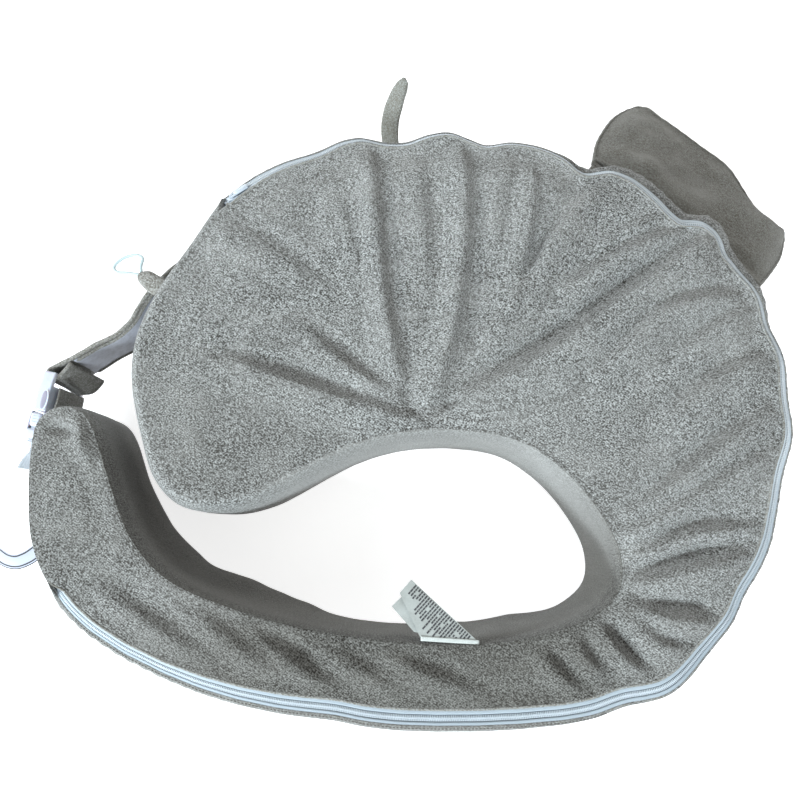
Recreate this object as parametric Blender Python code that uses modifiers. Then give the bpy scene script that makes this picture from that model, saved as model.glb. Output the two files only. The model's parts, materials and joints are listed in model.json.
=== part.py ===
"""Nursing pillow: a foam C-shape in a zipped fleece cover, with a waist strap and buckle.

Metres, +Z up. The origin is on the floor under the middle of the whole object's box, with +X along
its longest side. The plan is drawn about PLAN_MIDDLE, and everything is shifted by it.
"""

import math

import bmesh
import bpy
from mathutils import Matrix, Vector

# Driving dimensions of the pillow.
PLAN_MIDDLE = Vector((0.0154, 0.1237))
HEIGHT = 0.112
FLEECE = 0.002
GAP = 0.0003
LONGEST_STEP = 0.03
LARGEST_TURN = math.radians(6)

# Top right of the outline: an arc, so that the zip slider can run along it.
ARC_CENTRE = Vector((0.045, 0.015))
ARC_RADIUS = 0.3155
ARC_START = math.radians(125.6)
ARC_END = math.radians(50.7)
ARC_STEPS = 12

# The arm's tip: an arc between its outer and inner sides.
TIP_CENTRE = Vector((-0.2545, 0.0725))
TIP_RADIUS = 0.0250
TIP_START = math.radians(180)
TIP_END = math.radians(22)
TIP_STEPS = 6

# Zip: two tapes and two coils across a band that slopes between the wall and the top panel.
BAND_LOW = Vector((-0.0002, 0.0994))
BAND_HIGH = Vector((-0.0118, 0.1098))
TAPE_WIDTH = 0.0050
TAPE_THICK = 0.0007
COIL_WIDTH = 0.0019
COIL_THICK = 0.0016
COIL_SPACE = 0.0012
FOAM_CHAMFER = 0.0142
PANEL_RAMP = 0.03

# Zip slider and its pull, in the slider's own axes: x along the zip, y up the band, z out of it.
SLIDER_ANGLE = math.radians(124.5)
SLIDER_LENGTH = 0.0090
SLIDER_WIDTH = 0.0076
SLIDER_PLATE = 0.0009
SLIDER_CLEAR = 0.0004
PULL_LENGTH = 0.0150
PULL_WIDTH = 0.0062
PULL_THICK = 0.0011
PULL_PIN = 0.0005
PIN_ABOVE_PLATE = 0.0013
LUG_HALF = 0.0008
LUG_LENGTH = 0.0032
LUG_HEIGHT = 0.0023

# Pocket: a fleece pouch that hangs from the outer wall at the upper right.
POCKET_ROOT = (Vector((0.165, 0.305)), Vector((0.3025, 0.1925)))
POCKET_HINGE_Z = 0.066
POCKET_SLOPE = math.radians(31)
POCKET_HALF_WIDTH = 0.088
POCKET_LENGTH = 0.106
POCKET_DEPTH = 0.014
POCKET_MOUTH = 0.020
POCKET_CORNER = 0.016
POCKET_STAND_OFF = 0.003
HEM_WIDTH = 0.005

# Waist strap, standing on edge, and the side-release buckle at its end.
STRAP_MIDDLE_Z = 0.050
STRAP_WIDTH = 0.055
LINING_THICK = 0.0010
BUCKLE_CENTRE = Vector((-0.2856, 0.0975))
BUCKLE_TURN = math.radians(79.5)
BUCKLE_WIDTH = 0.068
BUCKLE_THICK = 0.012
BUCKLE_HALF_LENGTH = 0.032
FEMALE_MOUTH = -0.002
CHANNEL_END = -0.022
PRONG_PIVOT = Vector((-0.0022, 0.0, 0.0225))

FEMALE_BAR = 0.0035
FACE_THICK = 0.0016
BAR_CENTRE = 0.0297
BAR_HALF_LENGTH = 0.0020
BAR_HALF_THICK = 0.0022
SLOT_LENGTH = 0.0068
GUIDE_HALF_THICK = 0.0015
GUIDE_HALF_WIDTH = 0.0080
WEBBING_THICK = 0.0012
WEBBING_TURN_RADIUS = 0.0037
WEBBING_OUTER_LEG = ((-0.0540, -0.0142), (-0.0480, -0.0090), (-0.0400, 0.0000), (-0.0350, 0.0032))
WEBBING_INNER_LEG = ((-0.0350, -0.0045), (-0.0400, -0.0085), (-0.0450, -0.0128))
STRAP_TURN_RADIUS = 0.0047
STRAP_TURN_START = math.radians(122.7)
STRAP_KNOTS = (
    (-0.1700, 0.2290), (-0.1790, 0.2240), (-0.1900, 0.2150), (-0.2010, 0.2030), (-0.2100, 0.1890),
    (-0.2180, 0.1740), (-0.2300, 0.1625), (-0.2460, 0.1535), (-0.2620, 0.1430), (-0.2745, 0.1355),
)  # fmt: skip
TAIL_KNOTS = ((-0.2700, 0.1290), (-0.2600, 0.1385), (-0.2460, 0.1480))
LINING_STOP = 0.014

# Trims.
STOP_CLEAR = 0.0004
STOP_LENGTH = 0.0022
STOP_THICK = 0.0024
ELASTIC_DIAMETER = 0.0026
ELASTIC_HEIGHT = 0.0920
ELASTIC_KNOTS = (
    (-0.2088, 0.2118, 0.0920), (-0.2075, 0.2180, 0.0915), (-0.2060, 0.2232, 0.0910), (-0.2100, 0.2262, 0.0905),
    (-0.2160, 0.2262, 0.0900), (-0.2225, 0.2240, 0.0898), (-0.2278, 0.2200, 0.0898), (-0.2305, 0.2150, 0.0900),
    (-0.2275, 0.2115, 0.0905), (-0.2210, 0.2108, 0.0912), (-0.2150, 0.2100, 0.0918), (-0.2120, 0.2092, 0.0920),
)  # fmt: skip
TAB_THICK = 0.0060
TAB_OUTLINE = (
    (-0.1940, 0.1903), (-0.2000, 0.1945), (-0.2055, 0.2000), (-0.2090, 0.2050), (-0.2090, 0.2090),
    (-0.2050, 0.2112), (-0.1995, 0.2115), (-0.1935, 0.2085), (-0.1850, 0.2035),
)  # fmt: skip
LOOP_STRIP = 0.0040
HANGING_LOOP_LOW = 0.0655
HANGING_LOOP_HIGH = 0.0805
HANGING_LOOP_KNOTS = (
    (-0.0032, 0.3315), (-0.0025, 0.3450), (-0.0005, 0.3630), (0.0030, 0.3800), (0.0075, 0.3915),
    (0.0110, 0.3940), (0.0132, 0.3905), (0.0095, 0.3760), (0.0062, 0.3600), (0.0050, 0.3440), (0.0048, 0.3315),
)  # fmt: skip
LABEL_THICK = 0.0005
CARE_LABEL_Z = 0.1085
CARE_OUTLINE = (
    (0.0225, -0.0800), (0.0180, -0.0705), (0.0105, -0.0620), (0.0020, -0.0550), (0.0085, -0.0465),
    (0.0155, -0.0362), (0.0300, -0.0520), (0.0500, -0.0700), (0.0670, -0.0822),
)  # fmt: skip
RIBBON_WIDTH = 0.0125
RIBBON_Z = 0.035
RIBBON_KNOTS = (
    (-0.2795, -0.0190), (-0.2900, -0.0240), (-0.3010, -0.0320), (-0.3140, -0.0375), (-0.3260, -0.0335),
    (-0.3335, -0.0230),
)  # fmt: skip


def clear_scene():
    for obj in list(bpy.data.objects):
        bpy.data.objects.remove(obj, do_unlink=True)


def new_collection(name):
    collection = bpy.data.collections.new(name)
    bpy.context.scene.collection.children.link(collection)
    return collection


clear_scene()
PARTS = new_collection("nursing_pillow")
CUTTERS = new_collection("cutters")


def material(name, colour, roughness, metallic=0.0):
    made = bpy.data.materials.new(name)
    made.use_nodes = True
    shader = made.node_tree.nodes["Principled BSDF"]
    shader.inputs["Base Color"].default_value = (*colour, 1.0)
    shader.inputs["Roughness"].default_value = roughness
    shader.inputs["Metallic"].default_value = metallic
    return made


MATERIALS = {
    "foam": material("foam", (0.86, 0.80, 0.62), 0.95),
    "fleece": material("fleece", (0.29, 0.28, 0.255), 0.95),
    "fleece_dark": material("fleece_dark", (0.15, 0.145, 0.13), 0.95),
    "zip_tape": material("zip_tape", (0.70, 0.77, 0.80), 0.8),
    "zip_coil": material("zip_coil", (0.80, 0.86, 0.88), 0.35),
    "buckle_plastic": material("buckle_plastic", (0.78, 0.83, 0.87), 0.35),
    "webbing": material("webbing", (0.76, 0.79, 0.80), 0.8),
    "lining": material("lining", (0.30, 0.31, 0.36), 0.6),
    "elastic": material("elastic", (0.78, 0.85, 0.84), 0.7),
    "label_satin": material("label_satin", (0.62, 0.66, 0.64), 0.5),
    "label_ribbon": material("label_ribbon", (0.80, 0.81, 0.82), 0.6),
}


# ---------------------------------------------------------------- object helpers


def add(name, data, finish):
    obj = bpy.data.objects.new(name, data)
    if finish is None:
        CUTTERS.objects.link(obj)
        obj.hide_render = True
        obj.display_type = "WIRE"
    else:
        PARTS.objects.link(obj)
        data.materials.append(MATERIALS[finish])
    return obj


def empty(name, location, rotation=(0.0, 0.0, 0.0), parent=None):
    obj = bpy.data.objects.new(name, None)
    PARTS.objects.link(obj)
    obj.empty_display_size = 0.01
    obj.location = location
    obj.rotation_euler = rotation
    obj.parent = parent
    return obj


def box(name, low, high, finish, parent=None, bevel=0.0):
    """A box between two corners, with its origin at its parent's."""
    low, high = Vector(low), Vector(high)
    work = bmesh.new()
    bmesh.ops.create_cube(work, size=1.0)
    bmesh.ops.scale(work, vec=high - low, verts=work.verts)
    bmesh.ops.translate(work, vec=(low + high) / 2, verts=work.verts)
    mesh = bpy.data.meshes.new(name)
    work.to_mesh(mesh)
    work.free()
    obj = add(name, mesh, finish)
    obj.parent = parent
    if bevel:
        rounding = obj.modifiers.new("rounding", "BEVEL")
        rounding.width = bevel
        rounding.segments = 2
    return obj


def cylinder(name, radius, low, high, finish, parent=None, sides=12):
    """A cylinder between the centres of its two ends."""
    work = bmesh.new()
    bmesh.ops.create_cone(
        work, cap_ends=True, segments=sides, radius1=radius, radius2=radius, depth=(high - low).length
    )
    turn = (high - low).to_track_quat("Z", "Y").to_matrix().to_4x4()
    bmesh.ops.transform(work, matrix=Matrix.Translation((low + high) / 2) @ turn, verts=work.verts)
    mesh = bpy.data.meshes.new(name)
    work.to_mesh(mesh)
    work.free()
    obj = add(name, mesh, finish)
    obj.parent = parent
    return obj


def plate(name, outline, bottom, top, finish, parent=None):
    """A flat piece: a filled outline between two heights."""
    curve = bpy.data.curves.new(name, "CURVE")
    curve.dimensions = "2D"
    curve.fill_mode = "BOTH"
    curve.extrude = (top - bottom) / 2
    spline = curve.splines.new("POLY")
    spline.points.add(len(outline) - 1)
    for point, place in zip(spline.points, outline):
        point.co = (place.x, place.y, 0.0, 1.0)
    spline.use_cyclic_u = True
    obj = add(name, curve, finish)
    obj.location.z = (bottom + top) / 2
    obj.parent = parent
    return obj


def join(target, tool, operation="UNION"):
    change = target.modifiers.new(tool.name, "BOOLEAN")
    change.operation = operation
    change.object = tool
    change.solver = "EXACT"


# ---------------------------------------------------------------- outline helpers


def smooth(knots, closed, pieces=24):
    """Points on a centripetal Catmull-Rom curve through the knots."""
    count = len(knots)
    points = []
    for span in range(count if closed else count - 1):
        b, c = knots[span], knots[(span + 1) % count]
        a = knots[span - 1] if closed or span else b * 2 - c
        d = knots[(span + 2) % count] if closed or span + 2 < count else c * 2 - b
        times = [0.0]
        for before, after in ((a, b), (b, c), (c, d)):
            times.append(times[-1] + math.sqrt((after - before).length))
        for step in range(pieces):
            t = times[1] + (times[2] - times[1]) * step / pieces
            level = [a, b, c, d]
            for order in (1, 2, 3):
                level = [
                    mixed(level[i], level[i + 1], t, *knot_times(times, i, order)) for i in range(4 - order)
                ]
            points.append(level[0])
    if not closed:
        points.append(knots[-1].copy())
    return points


def knot_times(times, index, order):
    """The two times between which one step of the curve's recursion blends."""
    if order == 3:
        return times[1], times[2]
    return times[index], times[index + order]


def mixed(before, after, t, start, end):
    share = (t - start) / (end - start)
    return before * (1 - share) + after * share


def directions(points, closed):
    """Unit directions of travel at each point."""
    count = len(points)
    made = []
    for index in range(count):
        before = points[index - 1] if closed or index else points[index]
        after = points[(index + 1) % count] if closed or index + 1 < count else points[index]
        made.append((after - before).normalized())
    return made


def thinned(points, closed, keep=()):
    """Leaves out points while the line has neither turned nor run far, but keeps the ones named."""
    ways = directions(points, closed)
    kept = [0]
    for index in range(1, len(points)):
        last = kept[-1]
        turned = ways[index].angle(ways[last], 0.0) >= LARGEST_TURN
        far = (points[index] - points[last]).length >= LONGEST_STEP
        if turned or far or index in keep or (index == len(points) - 1 and not closed):
            kept.append(index)
    return kept


def outward(way):
    """The left-hand normal of a clockwise outline points away from the pillow."""
    return Vector((-way.y, way.x))


def arc(centre, radius, start, end, steps):
    angles = [start + (end - start) * step / steps for step in range(steps + 1)]
    return [centre + radius * Vector((math.cos(angle), math.sin(angle))) for angle in angles]


ARC_KNOTS = arc(ARC_CENTRE, ARC_RADIUS, ARC_START, ARC_END, ARC_STEPS)
TIP_KNOTS = arc(TIP_CENTRE, TIP_RADIUS, TIP_START, TIP_END, TIP_STEPS)

# Clockwise from the end of the arc to the lower end of the zip.
ZIP_KNOTS = [
    Vector(place)
    for place in (
        (0.2720, 0.2360), (0.2980, 0.1950), (0.3135, 0.1500), (0.3185, 0.1050), (0.3125, 0.0500),
        (0.2940, -0.0150), (0.2640, -0.0700), (0.2150, -0.1150), (0.1500, -0.1380), (0.0700, -0.1480),
        (-0.0100, -0.1460), (-0.0900, -0.1335), (-0.1600, -0.1110), (-0.2150, -0.0820), (-0.2520, -0.0510),
    )
]  # fmt: skip

# Clockwise up the outside of the arm to its tip.
ARM_KNOTS = [Vector(place) for place in ((-0.2725, -0.0150), (-0.2795, 0.0280))]

# Clockwise back along the waist opening and round the wide end.
END_KNOTS = [
    Vector(place)
    for place in (
        (-0.2225, 0.0600), (-0.2125, 0.0300), (-0.1950, -0.0080), (-0.1680, -0.0360),
        (-0.1200, -0.0570), (-0.0600, -0.0735), (0.0000, -0.0815), (0.0600, -0.0845), (0.1150, -0.0775),
        (0.1530, -0.0640), (0.1730, -0.0450), (0.1745, -0.0190), (0.1610, 0.0110), (0.1350, 0.0430),
        (0.1010, 0.0660), (0.0600, 0.0740), (0.0120, 0.0720), (-0.0300, 0.0600), (-0.0680, 0.0400),
        (-0.1000, 0.0225), (-0.1350, 0.0145), (-0.1670, 0.0200), (-0.1870, 0.0410), (-0.1970, 0.0700),
        (-0.2055, 0.1000), (-0.2090, 0.1280), (-0.2060, 0.1560), (-0.1920, 0.1910), (-0.1680, 0.2280),
    )
]  # fmt: skip


def pillow_outline():
    """Points and outward normals all round the pillow, with the indices where the zip starts and ends."""
    pieces = 24
    knots = ARC_KNOTS + ZIP_KNOTS + ARM_KNOTS + TIP_KNOTS + END_KNOTS
    knots = [place - PLAN_MIDDLE for place in knots]
    points = smooth(knots, True, pieces)
    true_arc = arc(ARC_CENTRE - PLAN_MIDDLE, ARC_RADIUS, ARC_START, ARC_END, ARC_STEPS * pieces)
    points[: len(true_arc)] = true_arc
    zip_end = (len(ARC_KNOTS) + len(ZIP_KNOTS) - 1) * pieces
    slider_run = range(0, ARC_STEPS * pieces + 1, pieces // 3)
    kept = thinned(points, True, keep=(*slider_run, zip_end))
    ways = directions(points, True)
    outline = [(points[index], outward(ways[index])) for index in kept]
    return outline, kept.index(zip_end)


OUTLINE, ZIP_END = pillow_outline()
ZIP_LINE = OUTLINE[: ZIP_END + 1]
END_LINE = OUTLINE[ZIP_END:] + OUTLINE[:1]


def inset(outline, distance):
    return [point - normal * distance for point, normal in outline]


def line(knots):
    """Points and left-hand normals along an open smooth line, in the shifted plan."""
    points = smooth([Vector(place) - PLAN_MIDDLE for place in knots], False)
    kept = thinned(points, False)
    ways = directions(points, False)
    return [(points[index], outward(ways[index])) for index in kept]


def shortened(route, start, end):
    """The route with a length taken off each end."""
    places = [point for point, _ in route]
    runs = [0.0]
    for before, after in zip(places, places[1:]):
        runs.append(runs[-1] + (after - before).length)
    return [pair for pair, run in zip(route, runs) if start <= run <= runs[-1] - end]


def band(name, route, low, high, thickness, finish, parent=None):
    """A strip along a route. low and high give its two edges, as (distance outwards, height)."""
    vertices = []
    for edge in (low, high):
        vertices += [(*(point + normal * edge[0]), edge[1]) for point, normal in route]
    count = len(route)
    faces = [(i, i + 1, count + i + 1, count + i) for i in range(count - 1)]
    mesh = bpy.data.meshes.new(name)
    mesh.from_pydata(vertices, [], faces)
    obj = add(name, mesh, finish)
    obj.parent = parent
    shell = obj.modifiers.new("thickness", "SOLIDIFY")
    shell.thickness = thickness
    shell.offset = 0.0
    return obj


# ---------------------------------------------------------------- foam and cover


def foam_core():
    """The foam block, with its edges chamfered to leave room behind the zip."""
    bottom = FLEECE + GAP
    top = HEIGHT - FLEECE - GAP
    places = inset(OUTLINE, FLEECE + GAP)
    obj = plate("foam_core", places, bottom, top, "foam")
    obj.data.extrude = (top - bottom) / 2 - FOAM_CHAMFER
    obj.data.bevel_depth = FOAM_CHAMFER
    obj.data.bevel_resolution = 0
    obj.data.offset = -FOAM_CHAMFER


def cover_top_panel():
    """The top panel stops at the zip band and reaches the wall elsewhere."""
    edge = -BAND_HIGH.x + GAP
    run = 0.0
    places = inset(ZIP_LINE, edge)
    for (before, _), (point, normal) in zip(END_LINE, END_LINE[1:-1]):
        run += (point - before).length
        left = (point - END_LINE[-1][0]).length
        ramp = max(0.0, 1 - run / PANEL_RAMP, 1 - left / PANEL_RAMP)
        places.append(point - normal * edge * ramp)
    plate("cover_top_panel", places, HEIGHT - FLEECE, HEIGHT, "fleece")


def cover():
    cover_top_panel()
    plate("cover_bottom_panel", inset(OUTLINE, 0.0), 0.0, FLEECE, "fleece")
    middle = -FLEECE / 2
    low = FLEECE + GAP
    top = BAND_LOW.y - 2 * TAPE_THICK
    band("cover_outer_wall", ZIP_LINE, (middle, low), (middle, top), FLEECE, "fleece")
    wall = shortened(END_LINE, FLEECE, FLEECE)
    top = HEIGHT - FLEECE - GAP
    band("cover_inner_wall", wall, (middle, low), (middle, top), FLEECE, "fleece")


# ---------------------------------------------------------------- zip


def across_band(distance):
    """A point (outwards, height) at a distance up the band from its low edge."""
    return BAND_LOW + (BAND_HIGH - BAND_LOW).normalized() * distance


def zip_strip(name, start, width, thickness, finish):
    return band(name, ZIP_LINE, across_band(start), across_band(start + width), thickness, finish)


BAND_WIDTH = 2 * (TAPE_WIDTH + GAP + COIL_WIDTH) + COIL_SPACE


def zipper():
    upper = BAND_WIDTH - TAPE_WIDTH
    zip_strip("zipper_lower_tape", 0.0, TAPE_WIDTH, TAPE_THICK, "zip_tape")
    zip_strip("zipper_upper_tape", upper, TAPE_WIDTH, TAPE_THICK, "zip_tape")
    lower_coil = TAPE_WIDTH + GAP
    upper_coil = upper - GAP - COIL_WIDTH
    zip_strip("zipper_lower_coil", lower_coil, COIL_WIDTH, COIL_THICK, "zip_coil")
    zip_strip("zipper_upper_coil", upper_coil, COIL_WIDTH, COIL_THICK, "zip_coil")
    zip_stop("zipper_top_stop", ZIP_LINE[0], 1)
    zip_stop("zipper_bottom_stop", ZIP_LINE[-1], -1)


def band_frame(name, point, normal, parent=None):
    """An empty in the middle of the band: x back along the zip, y up the band and z out of it."""
    middle = across_band(BAND_WIDTH / 2)
    climb = (BAND_HIGH - BAND_LOW).normalized()
    along = Vector((-normal.y, normal.x, 0.0))
    upwards = Vector((normal.x * climb.x, normal.y * climb.x, climb.y))
    place = Vector((*(point + normal * middle.x), middle.y))
    if parent:
        place -= parent.location
    turn = Matrix((along, upwards, along.cross(upwards))).transposed()
    return empty(name, place, turn.to_euler(), parent)


def zip_stop(name, end, side):
    """A small moulded block just past one end of the coils."""
    frame = band_frame(name + "_frame", *end)
    near, far = side * STOP_CLEAR, side * (STOP_CLEAR + STOP_LENGTH)
    half = COIL_WIDTH + COIL_SPACE / 2
    low = (min(near, far), -half, -STOP_THICK / 2)
    high = (max(near, far), half, STOP_THICK / 2)
    box(name, low, high, "zip_coil", frame, bevel=STOP_THICK / 6)


def zip_slider():
    """Two plates either side of the coils, a web between the coils, and a lug for the pull."""
    axis = ARC_CENTRE - PLAN_MIDDLE
    pivot = empty("zip_slider_axis", (axis.x, axis.y, 0.0))
    normal = Vector((math.cos(SLIDER_ANGLE), math.sin(SLIDER_ANGLE)))
    frame = band_frame("zip_slider_frame", axis + normal * ARC_RADIUS, normal, pivot)
    inner = COIL_THICK / 2 + SLIDER_CLEAR
    outer = inner + SLIDER_PLATE
    half_length, half_width = SLIDER_LENGTH / 2, SLIDER_WIDTH / 2
    slider = box(
        "zipper_slider", (-half_length, -half_width, inner), (half_length, half_width, outer), "zip_coil", frame
    )
    lower = box("slider_lower", (-half_length, -half_width, -outer), (half_length, half_width, -inner), None, frame)
    reach = (inner + outer) / 2
    half_web = COIL_SPACE / 4
    web = box("slider_web", (-half_length / 2, -half_web, -reach), (half_length / 2, half_web, reach), None, frame)
    pin_height = outer + PIN_ABOVE_PLATE
    lug = box(
        "slider_lug", (-LUG_LENGTH / 2, -LUG_HALF, reach), (LUG_LENGTH / 2, LUG_HALF, outer + LUG_HEIGHT), None, frame
    )
    eye_low, eye_high = Vector((0, -LUG_LENGTH, pin_height)), Vector((0, LUG_LENGTH, pin_height))
    eye = cylinder("slider_eye", PULL_PIN + GAP, eye_low, eye_high, None, frame)
    join(slider, web)
    join(slider, lower)
    join(slider, lug)
    join(slider, eye, "DIFFERENCE")
    zip_pull(frame, pin_height)


def zip_pull(frame, pin_height):
    """A flat pull whose forked end holds the pin that runs through the slider's lug."""
    hinge = empty("zip_pull_axis", (0.0, 0.0, pin_height), parent=frame)
    half = PULL_WIDTH / 2
    head = PULL_PIN + GAP
    low, high = (-PULL_LENGTH, -half, -PULL_THICK / 2), (head, half, PULL_THICK / 2)
    pull = box("zipper_pull", low, high, "zip_coil", hinge)
    space = LUG_HALF + GAP
    slot = box("pull_slot", (-LUG_LENGTH, -space, -PULL_THICK), (2 * head, space, PULL_THICK), None, hinge)
    reach = Vector((0, (half + space) / 2, 0))
    pin = cylinder("pull_pin", PULL_PIN, -reach, reach, None, hinge)
    join(pull, slot, "DIFFERENCE")
    join(pull, pin)


# ---------------------------------------------------------------- pocket


def pocket_frame():
    """The hinge line touches the wall's outermost point between the pocket's ends."""
    left, right = (place - PLAN_MIDDLE for place in POCKET_ROOT)
    along = (right - left).normalized()
    away = outward(along)
    middle = (left + right) / 2
    bulge = max((point - middle).dot(away) for point, _ in ZIP_LINE)
    hinge = middle + away * (bulge + POCKET_STAND_OFF)
    turn = math.atan2(along.y, along.x)
    frame = empty("pocket_axis", (hinge.x, hinge.y, POCKET_HINGE_Z), (-POCKET_SLOPE, 0.0, turn))
    return frame, along, away, middle, hinge


def pocket_root(along, away, middle, hinge):
    """The strip of the pocket's back that is sewn to the wall, which stays with the pillow."""
    wall = [
        point + normal * GAP
        for point, normal in ZIP_LINE
        if normal.dot(away) > 0 and abs((point - middle).dot(along)) < POCKET_HALF_WIDTH
    ]
    edge = hinge - away * (POCKET_STAND_OFF / 4)
    ends = [edge + along * POCKET_HALF_WIDTH * side for side in (1, -1)]
    near_top = POCKET_HINGE_Z + FLEECE / 2
    plate("pocket_root_strip", wall + ends, near_top - FLEECE, near_top, "fleece_dark")


def rounded_end(half_width, start, end, radius, steps=5):
    """A rectangle outline from start to end along y, with its two far corners rounded."""
    outline = [Vector((-half_width, start)), Vector((half_width, start))]
    for side, first in ((1, 0.0), (-1, math.pi / 2)):
        centre = Vector((side * (half_width - radius), end - radius))
        outline += arc(centre, radius, first, first + math.pi / 2, steps)
    return outline


def pocket():
    frame, along, away, middle, hinge = pocket_frame()
    pocket_root(along, away, middle, hinge)
    flat = rounded_end(POCKET_HALF_WIDTH, FLEECE, POCKET_LENGTH, POCKET_CORNER)
    plate("pocket_back_panel", flat, 0.0, FLEECE, "fleece_dark", frame)
    pocket_front(frame)
    low = (-POCKET_HALF_WIDTH, POCKET_MOUTH - HEM_WIDTH - GAP, POCKET_DEPTH - 1.5 * FLEECE)
    high = (POCKET_HALF_WIDTH, POCKET_MOUTH - GAP, POCKET_DEPTH + FLEECE / 4)
    box("pocket_hem", low, high, "fleece_dark", frame, bevel=FLEECE / 3)


def pocket_front(frame):
    """The front panel: a shallow tray over the back panel, open towards it and at the mouth."""
    work = bmesh.new()
    bmesh.ops.create_cube(work, size=1.0)
    low = Vector((-POCKET_HALF_WIDTH, POCKET_MOUTH, FLEECE + GAP))
    high = Vector((POCKET_HALF_WIDTH, POCKET_LENGTH, POCKET_DEPTH))
    bmesh.ops.scale(work, vec=high - low, verts=work.verts)
    bmesh.ops.translate(work, vec=(low + high) / 2, verts=work.verts)
    corners = [
        edge
        for edge in work.edges
        if all(abs(v.co.y - POCKET_LENGTH) < GAP for v in edge.verts) and edge.verts[0].co.x * edge.verts[1].co.x > 0
    ]
    bmesh.ops.bevel(work, geom=corners, offset=POCKET_CORNER, segments=5, profile=0.5, affect="EDGES")
    open_sides = [face for face in work.faces if face.normal.z < -0.9 or face.normal.y < -0.9]
    bmesh.ops.delete(work, geom=open_sides, context="FACES")
    mesh = bpy.data.meshes.new("pocket_front_panel")
    work.to_mesh(mesh)
    work.free()
    obj = add("pocket_front_panel", mesh, "fleece_dark")
    obj.parent = frame
    shell = obj.modifiers.new("thickness", "SOLIDIFY")
    shell.thickness = FLEECE
    shell.offset = -1.0


# ---------------------------------------------------------------- buckle and strap


def buckle_axes():
    place = BUCKLE_CENTRE - PLAN_MIDDLE
    return empty("buckle_axes", (place.x, place.y, STRAP_MIDDLE_Z), (0.0, 0.0, BUCKLE_TURN))


def in_buckle(x, y):
    """A plan point, before the shift, from the buckle's own x and y."""
    turn = Matrix.Rotation(BUCKLE_TURN, 2)
    return BUCKLE_CENTRE + turn @ Vector((x, y))


def buckle_female(axes):
    """The socket: open at its mouth and along both edges, with a slot for its webbing."""
    half_thick, half_width = BUCKLE_THICK / 2, BUCKLE_WIDTH / 2
    body = box(
        "buckle_female",
        (-BUCKLE_HALF_LENGTH, -half_thick, -half_width),
        (FEMALE_MOUTH, half_thick, half_width),
        "buckle_plastic",
        axes,
    )
    hollow = half_thick - FACE_THICK
    channel = box("female_channel", (CHANNEL_END, -hollow, -BUCKLE_WIDTH), (0.0, hollow, BUCKLE_WIDTH), None, axes)
    half_slot = STRAP_WIDTH / 2 + 2 * GAP
    slot = box(
        "female_slot",
        (-BUCKLE_HALF_LENGTH + FEMALE_BAR, -BUCKLE_THICK, -half_slot),
        (CHANNEL_END - 0.0025, BUCKLE_THICK, half_slot),
        None,
        axes,
    )
    join(body, channel, "DIFFERENCE")
    join(body, slot, "DIFFERENCE")
    thin_bar(body, axes, -2 * BUCKLE_HALF_LENGTH, CHANNEL_END - 0.0045, half_slot)


def thin_bar(body, axes, start, end, half_slot):
    """Trims the webbing bar of one half of the buckle thinner than its frame."""
    for side in (1, -1):
        near, far = side * BAR_HALF_THICK, side * BUCKLE_THICK
        low = (start, min(near, far), -half_slot)
        high = (end, max(near, far), half_slot)
        trim = box(f"{body.name}_trim_{side}", low, high, None, axes)
        join(body, trim, "DIFFERENCE")


def buckle_male(axes):
    """The plug's frame, with its strap slot and end bar, and the guide that enters the socket."""
    half_thick, half_width = BUCKLE_THICK / 2 - FACE_THICK / 2, BUCKLE_WIDTH / 2
    start = FEMALE_MOUTH + 2 * GAP
    body = box(
        "buckle_male", (start, -half_thick, -half_width), (BUCKLE_HALF_LENGTH, half_thick, half_width),
        "buckle_plastic", axes,
    )  # fmt: skip
    half_slot = STRAP_WIDTH / 2 + 2 * GAP
    slot_end = BAR_CENTRE - BAR_HALF_LENGTH
    slot = box("male_slot", (slot_end - SLOT_LENGTH, -BUCKLE_THICK, -half_slot), (slot_end, BUCKLE_THICK, half_slot),
               None, axes)  # fmt: skip
    join(body, slot, "DIFFERENCE")
    thin_bar(body, axes, slot_end - SLOT_LENGTH / 2, 2 * BUCKLE_HALF_LENGTH, half_slot)
    guide = box(
        "male_guide", (CHANNEL_END + 3 * GAP, -GUIDE_HALF_THICK, -GUIDE_HALF_WIDTH),
        (start + FACE_THICK, GUIDE_HALF_THICK, GUIDE_HALF_WIDTH), None, axes,
    )  # fmt: skip
    join(body, guide)


def buckle_prong(name, axes, side):
    """A springy side arm, hinged at its root, with its thumb button out past the socket's edge."""
    pivot = empty(name + "_axis", (PRONG_PIVOT.x, 0.0, side * PRONG_PIVOT.z), parent=axes)
    tip = CHANNEL_END + 3 * GAP - PRONG_PIVOT.x
    outline = [
        Vector(place)
        for place in (
            (-2 * GAP, -0.0025), (-2 * GAP, 0.0025), (tip * 0.35, 0.0030), (tip * 0.45, 0.0095),
            (tip * 0.85, 0.0110), (tip, 0.0080), (tip, 0.0030), (tip * 0.8, -0.0005), (tip * 0.4, -0.0030),
        )
    ]  # fmt: skip
    half = BUCKLE_THICK / 2 - FACE_THICK - 2 * GAP
    arm = plate(name, outline, -half, half, "buckle_plastic", pivot)
    arm.rotation_euler = (math.radians(90 * side), 0.0, 0.0)
    arm.location = (0.0, 0.0, 0.0)


def buckle_webbing(axes):
    """White webbing looped round the socket's bar, with both ends sewn to the arm's side."""
    bar = -BUCKLE_HALF_LENGTH + FEMALE_BAR / 2
    knots = [in_buckle(*place) for place in WEBBING_OUTER_LEG]
    centre = in_buckle(bar, 0.0)
    wrap = math.radians(100)
    knots += arc(centre, WEBBING_TURN_RADIUS, BUCKLE_TURN + wrap, BUCKLE_TURN - wrap, 6)
    knots += [in_buckle(*place) for place in WEBBING_INNER_LEG]
    half = STRAP_WIDTH / 2 - FLEECE
    band(
        "buckle_webbing", line(knots), (0.0, STRAP_MIDDLE_Z - half), (0.0, STRAP_MIDDLE_Z + half),
        WEBBING_THICK, "webbing",
    )  # fmt: skip


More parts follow.
